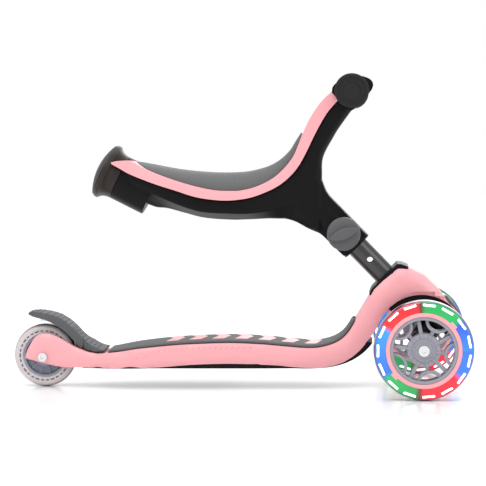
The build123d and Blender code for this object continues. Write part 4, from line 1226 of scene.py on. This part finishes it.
class ScooterStage(bpy.types.PropertyGroup):
    eye: FloatVectorProperty(name="Eye", description="The camera's place", subtype="TRANSLATION", unit="LENGTH",
                             default=(0.15656, -2.47728, 0.33763))
    azimuth: FloatProperty(name="Azimuth", description="Degrees round from the right-hand side", default=3.518)
    elevation: FloatProperty(name="Elevation", description="Degrees above level", default=3.599)
    roll: FloatProperty(name="Roll", description="Degrees of camera roll", default=-0.428)
    lens: FloatProperty(name="Lens", description="Focal length in millimetres", default=145.7)
    sky: FloatProperty(name="Sky", description="Strength of the even light", default=1.0)


class SCOOTER_OT_materials(bpy.types.Operator):
    """Make the scooter's materials"""
    bl_idname = "scooter.materials"
    bl_label = "Materials"

    def execute(self, context):
        make_materials(context.scene.scooter_colours)
        return {"FINISHED"}


class SCOOTER_OT_frame_finish(bpy.types.Operator):
    """Give the frame's own pieces their materials"""
    bl_idname = "scooter.frame_finish"
    bl_label = "Frame finish"

    def execute(self, context):
        finish_frame_nodes()
        return {"FINISHED"}


class SCOOTER_OT_deck(bpy.types.Operator):
    """Make the deck shell"""
    bl_idname = "scooter.deck"
    bl_label = "Deck"

    def execute(self, context):
        make_deck_shell(context.scene.scooter_sizes)
        return {"FINISHED"}


class SCOOTER_OT_mat(bpy.types.Operator):
    """Make the deck mat"""
    bl_idname = "scooter.mat"
    bl_label = "Mat"

    def execute(self, context):
        make_mat(context.scene.scooter_sizes)
        return {"FINISHED"}


class SCOOTER_OT_chevrons(bpy.types.Operator):
    """Make the mat's chevrons"""
    bl_idname = "scooter.chevrons"
    bl_label = "Chevrons"

    def execute(self, context):
        make_chevrons(context.scene.scooter_sizes)
        return {"FINISHED"}


class SCOOTER_OT_head(bpy.types.Operator):
    """Make the head's collar and housing and the truck"""
    bl_idname = "scooter.head"
    bl_label = "Head"

    def execute(self, context):
        make_head()
        return {"FINISHED"}


class SCOOTER_OT_seat_frame(bpy.types.Operator):
    """Make the seat frame's shell"""
    bl_idname = "scooter.seat_frame"
    bl_label = "Seat frame"

    def execute(self, context):
        make_frame_shell(context.scene.scooter_sizes)
        return {"FINISHED"}


class SCOOTER_OT_saddle(bpy.types.Operator):
    """Make the saddle's trim and pad"""
    bl_idname = "scooter.saddle"
    bl_label = "Saddle"

    def execute(self, context):
        make_saddle()
        return {"FINISHED"}


class SCOOTER_OT_plug(bpy.types.Operator):
    """Make the socket's plug"""
    bl_idname = "scooter.plug"
    bl_label = "Socket plug"

    def execute(self, context):
        make_socket_plug()
        return {"FINISHED"}


class SCOOTER_OT_handlebar(bpy.types.Operator):
    """Make the handlebar's hub and grips"""
    bl_idname = "scooter.handlebar"
    bl_label = "Handlebar"

    def execute(self, context):
        make_handlebar()
        return {"FINISHED"}


class SCOOTER_OT_knob(bpy.types.Operator):
    """Make the height lock's knob"""
    bl_idname = "scooter.knob"
    bl_label = "Knob"

    def execute(self, context):
        make_knob()
        return {"FINISHED"}


class SCOOTER_OT_right_wheel(bpy.types.Operator):
    """Make the right front wheel"""
    bl_idname = "scooter.right_wheel"
    bl_label = "Right wheel"

    def execute(self, context):
        make_front_wheel("right")
        return {"FINISHED"}


class SCOOTER_OT_left_wheel(bpy.types.Operator):
    """Make the left front wheel"""
    bl_idname = "scooter.left_wheel"
    bl_label = "Left wheel"

    def execute(self, context):
        make_front_wheel("left")
        return {"FINISHED"}


class SCOOTER_OT_rear_wheel(bpy.types.Operator):
    """Make the rear wheel"""
    bl_idname = "scooter.rear_wheel"
    bl_label = "Rear wheel"

    def execute(self, context):
        make_rear_wheel(context.scene.scooter_sizes)
        return {"FINISHED"}


class SCOOTER_OT_brake(bpy.types.Operator):
    """Make the fender brake"""
    bl_idname = "scooter.brake"
    bl_label = "Brake"

    def execute(self, context):
        make_brake(context.scene.scooter_sizes)
        return {"FINISHED"}


class SCOOTER_OT_stage(bpy.types.Operator):
    """Make the camera, floor and lights"""
    bl_idname = "scooter.stage"
    bl_label = "Stage"

    def execute(self, context):
        make_stage(context.scene.scooter_stage)
        return {"FINISHED"}


OPERATORS = [SCOOTER_OT_materials, SCOOTER_OT_frame_finish, SCOOTER_OT_deck, SCOOTER_OT_mat,
             SCOOTER_OT_chevrons, SCOOTER_OT_head, SCOOTER_OT_seat_frame, SCOOTER_OT_saddle,
             SCOOTER_OT_plug, SCOOTER_OT_handlebar, SCOOTER_OT_knob, SCOOTER_OT_right_wheel,
             SCOOTER_OT_left_wheel, SCOOTER_OT_rear_wheel, SCOOTER_OT_brake, SCOOTER_OT_stage]


class SCOOTER_PT_panel(bpy.types.Panel):
    """The scooter's settings and making steps"""
    bl_idname = "SCOOTER_PT_panel"
    bl_label = "Scooter"
    bl_space_type = "VIEW_3D"
    bl_region_type = "UI"
    bl_category = "Scooter"

    def draw(self, context):
        scene = context.scene
        for group in (scene.scooter_sizes, scene.scooter_colours, scene.scooter_stage):
            for name in group.__annotations__:
                self.layout.prop(group, name)
        for operator in OPERATORS:
            self.layout.operator(operator.bl_idname)


CLASSES = [ScooterSizes, ScooterColours, ScooterStage, *OPERATORS, SCOOTER_PT_panel]


def register():
    for cls in CLASSES:
        bpy.utils.register_class(cls)
    bpy.types.Scene.scooter_sizes = PointerProperty(type=ScooterSizes)
    bpy.types.Scene.scooter_colours = PointerProperty(type=ScooterColours)
    bpy.types.Scene.scooter_stage = PointerProperty(type=ScooterStage)


def unregister():
    del bpy.types.Scene.scooter_stage
    del bpy.types.Scene.scooter_colours
    del bpy.types.Scene.scooter_sizes
    for cls in reversed(CLASSES):
        bpy.utils.unregister_class(cls)


def main():
    register()
    for operator in OPERATORS:
        getattr(bpy.ops.scooter, operator.bl_idname.split(".")[1])()


if __name__ == "__main__":
    main()
